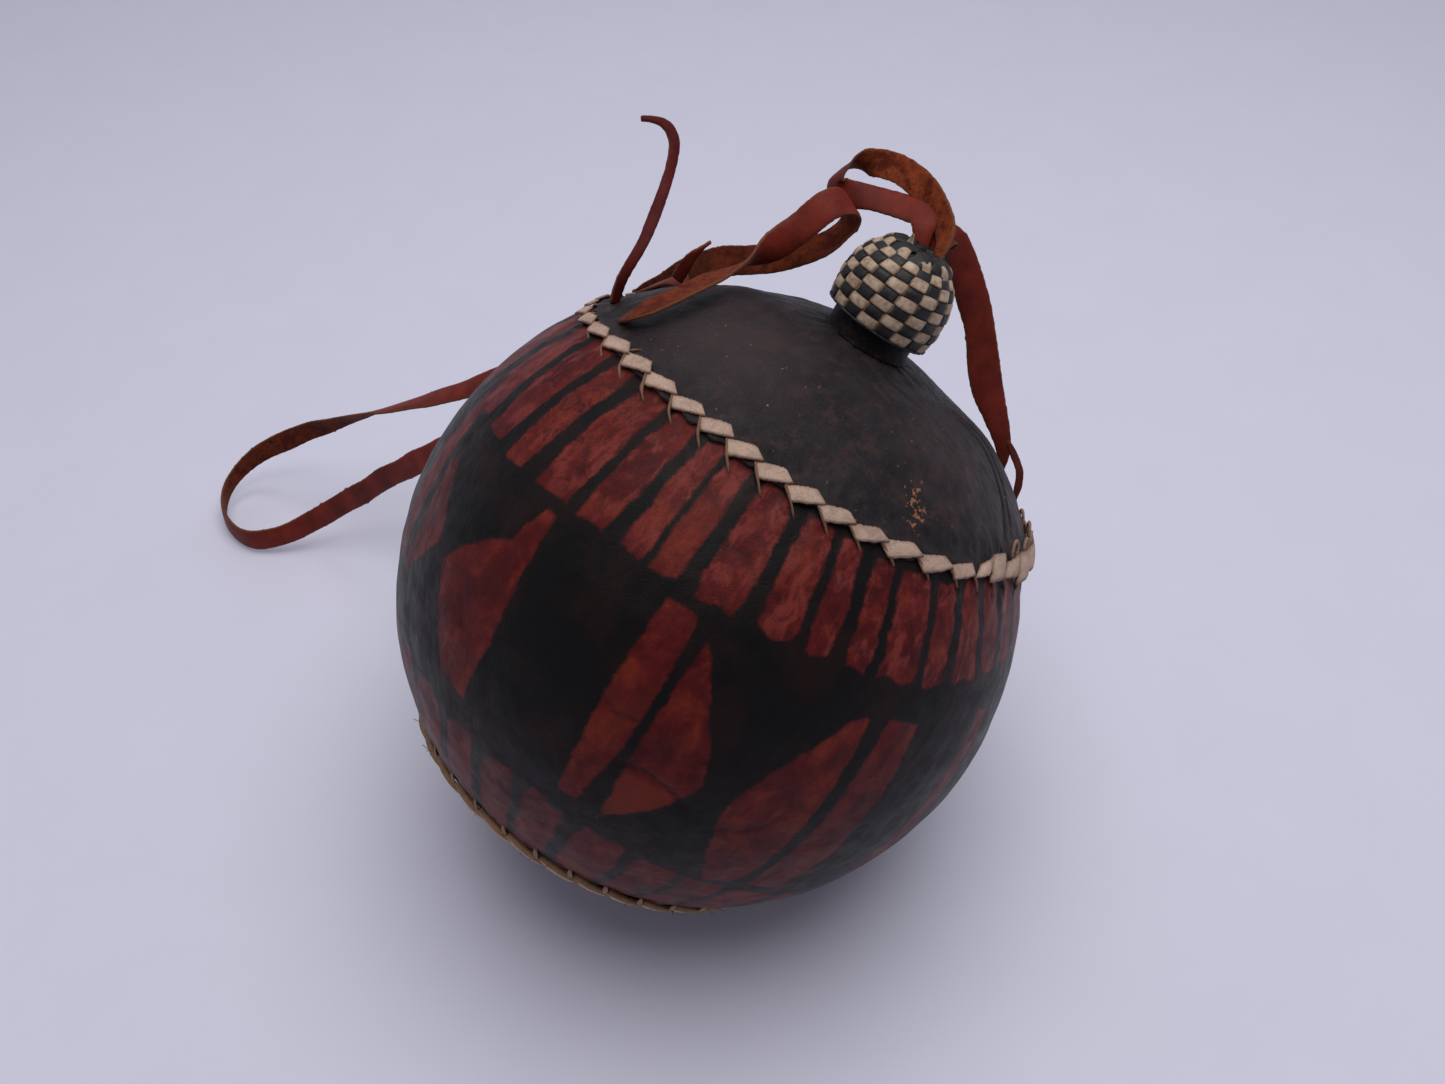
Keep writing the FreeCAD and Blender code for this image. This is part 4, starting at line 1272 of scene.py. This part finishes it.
def flat_strap(name, route, width, thickness, facings, seed, narrow=(3.0, 3.0),
               taper=(14, 14), cup=0.25, fray=0.16):
    """A hand-cut flat strap along a route, its edges uneven and its ends tapered.

    narrow is the width at each end and taper the length over which the strap narrows there.
    """
    line, length = smooth_line(route)
    grain, across = turned_frames(line, route, facings)
    run = np.linspace(0, length / MM, len(line))
    half = np.full(len(line), width / 2)
    for end_width, distance, end_length in ((narrow[0], run, taper[0]),
                                            (narrow[1], run[-1] - run, taper[1])):
        half = np.minimum(half, end_width / 2
                          + (width - end_width) / 2 * soft_step(distance, 0, end_length))
    rng = np.random.default_rng(seed)
    slow = [1 + 0.04 * wiggle(run, 31, seed + k) for k in (1, 2)]
    ragged = [fray * (0.18 * wiggle(run, 3.5, seed + 3 + k) + 0.30 * rng.normal(size=len(line)))
              for k in (0, 1)]
    tufts = [0.45 * (rng.random(len(line)) > 0.975) * rng.random(len(line)) for _ in (0, 1)]
    turn = (np.arange(STRAP_SIDES) + 0.5) / STRAP_SIDES * 2 * math.pi
    x = squarish(np.cos(turn), 0.62)
    y = squarish(np.sin(turn), 0.45)
    rims = np.abs(x) ** 3
    edges = [(half * slow[k] + ragged[k] + tufts[k])[:, None] for k in (0, 1)]
    wide = np.where(rims > 0.35, np.where(x > 0, edges[0], edges[1]), half[:, None])
    thick = thickness / 2 * (1 + 0.03 * wiggle(run, 14, seed + 7))[:, None]
    cupped = half / (width / 2) * (1 + 0.4 * wiggle(run, 45, seed + 8))
    curl = cup * x ** 2 * cupped[:, None]
    ripple = 0.04 * wiggle(run, 25, seed + 9)[:, None] * x
    rows = (line[:, None] + (wide * x)[..., None] * MM * across[:, None]
            + (thick * y - curl + ripple)[..., None] * MM * grain[:, None])
    face = np.broadcast_to(y * (1 - 0.9 * rims * (np.abs(y) < 0.8)), rows.shape[:2])
    worn = np.clip(0.15 * np.abs(wiggle(run, 37, seed + 10)) ** 3, 0, 1)[:, None] + 0 * face
    piece = new_piece(name, keep_off_floor(rows), tube_faces(len(line), STRAP_SIDES),
                      {"face": face, "worn": worn})
    return piece, line, length


def add_strap(node, route, sizes, facings, seed, kind, body="flask", look=None, cord=None, **form):
    """sizes are its width and thickness; cord, its declared width and what its far end meets, is not
    used.
    With no body named, the strap reaches from the flask to the stopper.
    """
    piece, line, length = flat_strap(node + "_leather", route, *sizes, facings, seed, **form)
    finish_piece(piece, body, kind + "_leather", strap_leather(kind, **(look or {})), node)
    if body is None:
        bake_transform(piece)


def straps():
    """The six loose leather pieces: carrying strap, tether, stopper loop, tails and thong."""
    behind = -VIEWER
    add_strap("carrying_strap", CARRYING_STRAP, (9.4, 1.5), [
        (0, (0.3, -0.9, -0.2)), (2, (-0.05, -0.25, -1.0)), (4, (-0.2, -0.35, -0.9)),
        (5, -VIEW_UP), (6, VIEWER - 0.9 * VIEW_UP), (7, VIEWER), (9, VIEWER + 0.5 * UP),
        (10, (1.0, 0.0, 0.1)), (11, 0.2 * RIGHT - UP), (13, behind), (16, behind),
        (19, (0.5, 0.6, 0.3)), (21, VIEWER + 0.3 * UP), (23, 0.4 * UP + 0.1 * behind),
        (25, behind + 0.5 * UP), (27, (-0.6, 0.8, 0.15)), (28, (-1.0, 0.1, 0.1)),
        (29, (-0.5, -0.85, 0.15)), (31, (-0.55, -0.75, 0.35)), (34, VIEWER),
        (37, (0.2, 0.6, 0.7)), (41, (0.3, 0.8, 0.3))], 300, "strap", cord=(9.5, "object"))
    add_strap("tether_strap", TETHER_STRAP, (10.0, 1.4), [
        (0, VIEWER + 0.3 * RIGHT), (3, VIEWER), (5, VIEWER), (7, VIEWER + 0.3 * UP),
        (8, VIEWER + 0.8 * UP), (10, (-1.0, 0.2, 0.2))], 320, "tether", body=None,
        look={"grain": (0.130, 0.0165, 0.0105)}, cord=(9.5, "object"), narrow=(3.0, 6.0),
        taper=(32, 8))
    add_strap("stopper_loop", STOPPER_LOOP, (8.6, 1.4), [
        (0, VIEWER), (2, VIEWER + 0.3 * UP), (4, VIEWER + 0.4 * UP), (6, VIEWER - 1.5 * RIGHT),
        (7, 0.3 * UP - RIGHT), (8, UP + 0.6 * behind - 0.6 * RIGHT), (9, behind + 0.4 * UP),
        (10, behind + 0.25 * RIGHT), (12, 0.7 * behind + RIGHT), (14, 0.5 * behind + RIGHT)],
        340, "loop", body="stopper", look={"flesh": (0.200, 0.040, 0.0125)},
        cord=(9.0, "object"), narrow=(5.0, 4.5), taper=(14, 16))
    add_strap("left_tail", LEFT_TAIL, (3.5, 1.5), [
        (0, VIEWER + RIGHT), (3, VIEWER - 0.3 * RIGHT), (6, VIEWER + 0.5 * RIGHT), (9, VIEWER)],
        360, "tail", look={"grain": (0.100, 0.0120, 0.0110)}, cord=(3.2, "bare"),
        narrow=(4.4, 1.6), taper=(9, 12), cup=0.1, fray=0.12)
    add_strap("back_tail", BACK_TAIL, (4.0, 1.4), [(0, VIEWER), (3, VIEWER + RIGHT)], 380,
              "back_tail", look={"grain": (0.170, 0.022, 0.013)}, narrow=(4.0, 0.8),
              taper=(2, 12), cup=0.1)
    add_strap("tether_thong", TETHER_THONG, (2.3, 1.3), [(0, VIEWER), (3, VIEWER)], 400, "thong",
              look={"grain": (0.085, 0.014, 0.009)}, narrow=(1.4, 1.4), taper=(4, 4), cup=0.0,
              fray=0.08)


# ---- CAD pieces that keep their shape -----------------------------------------------------
def dress_cad_nodes():
    rind = gourd_wood("gourd_rind")
    for name in ("gourd_bowl", "gourd_shoulder", "gourd_neck"):
        dress(name, rind)
    dress("stopper_plug", gourd_wood("plug_wood", base=(0.42, 0.29, 0.17)))
    dress("cap_lining", plait_black("lining_black"))


def dress(name, material):
    node = frame["nodes"][name]
    node.data.materials.clear()
    node.data.materials.append(material)


# ---- floor and light ----------------------------------------------------------------------
FLOOR_COLOUR = (0.74, 0.74, 0.87)
FLOOR_REACH = 6.0                            # metres from the middle to each edge
LAMP_SIZE = 1.3                              # metres across
LAMP_POWER = 13.4                            # watts
LAMP_PLACE = 0.03 * AWAY + 0.10 * RIGHT + 1.40 * UP
LAMP_TARGET = Vector((0, 0, 0.08))
SKY_COLOUR = (0.86, 0.87, 1.0)


def make_floor():
    corners = [(x * FLOOR_REACH, y * FLOOR_REACH, 0)
               for x, y in ((-1, -1), (1, -1), (1, 1), (-1, 1))]
    floor = new_piece("floor", corners, [(0, 1, 2, 3)])
    finish = Finish("floor", specular=0.2)
    paper = finish.colours(finish.noise(40, 3), (0.3, scaled(FLOOR_COLOUR, 0.98)),
                           (0.7, FLOOR_COLOUR))
    floor.data.materials.append(finish.finish(paper, finish.noise(1.0), 0.02, 0.8))


def make_lamp():
    """One round overhead lamp, aimed at the ball."""
    data = bpy.data.lights.new("overhead", "AREA")
    data.shape = "DISK"
    data.size = LAMP_SIZE
    data.energy = LAMP_POWER
    data.color = (1.0, 0.98, 0.97)
    light = bpy.data.objects.new("overhead", data)
    light.location = tuple(LAMP_PLACE)
    way = LAMP_TARGET - light.location
    light.rotation_mode = "QUATERNION"
    light.rotation_quaternion = way.to_track_quat("-Z", "Y")
    bpy.context.scene.collection.objects.link(light)


def make_world():
    """A pale studio that is brighter behind the object than behind the viewer."""
    world = bpy.data.worlds.new("studio")
    world.use_nodes = True
    tree = world.node_tree
    backdrop = tree.nodes["Background"]
    backdrop.inputs["Color"].default_value = (*SKY_COLOUR, 1)
    place = tree.nodes.new("ShaderNodeTexCoord").outputs["Generated"]
    towards = tree.nodes.new("ShaderNodeVectorMath")
    towards.operation = "DOT_PRODUCT"
    tree.links.new(place, towards.inputs[0])
    towards.inputs[1].default_value = tuple(VIEWER)
    shade = tree.nodes.new("ShaderNodeMapRange")
    shade.interpolation_type = "SMOOTHSTEP"
    for key, value in (("From Min", 0.05), ("From Max", 0.80), ("To Min", 0.46), ("To Max", 0.15)):
        shade.inputs[key].default_value = value
    tree.links.new(towards.outputs["Value"], shade.inputs["Value"])
    tree.links.new(shade.outputs["Result"], backdrop.inputs["Strength"])
    bpy.context.scene.world = world
    bpy.context.scene.view_settings.view_transform = "Standard"


make_floor()
make_world()
make_lamp()
straps()
body_cover()
top_cover()
bottom_cover()
upper_lacing()
lower_lacing()
cap_uprights()
cap_hoops()
cap_hem()
crown()
petals()
tag()
sleeve()
dress_cad_nodes()
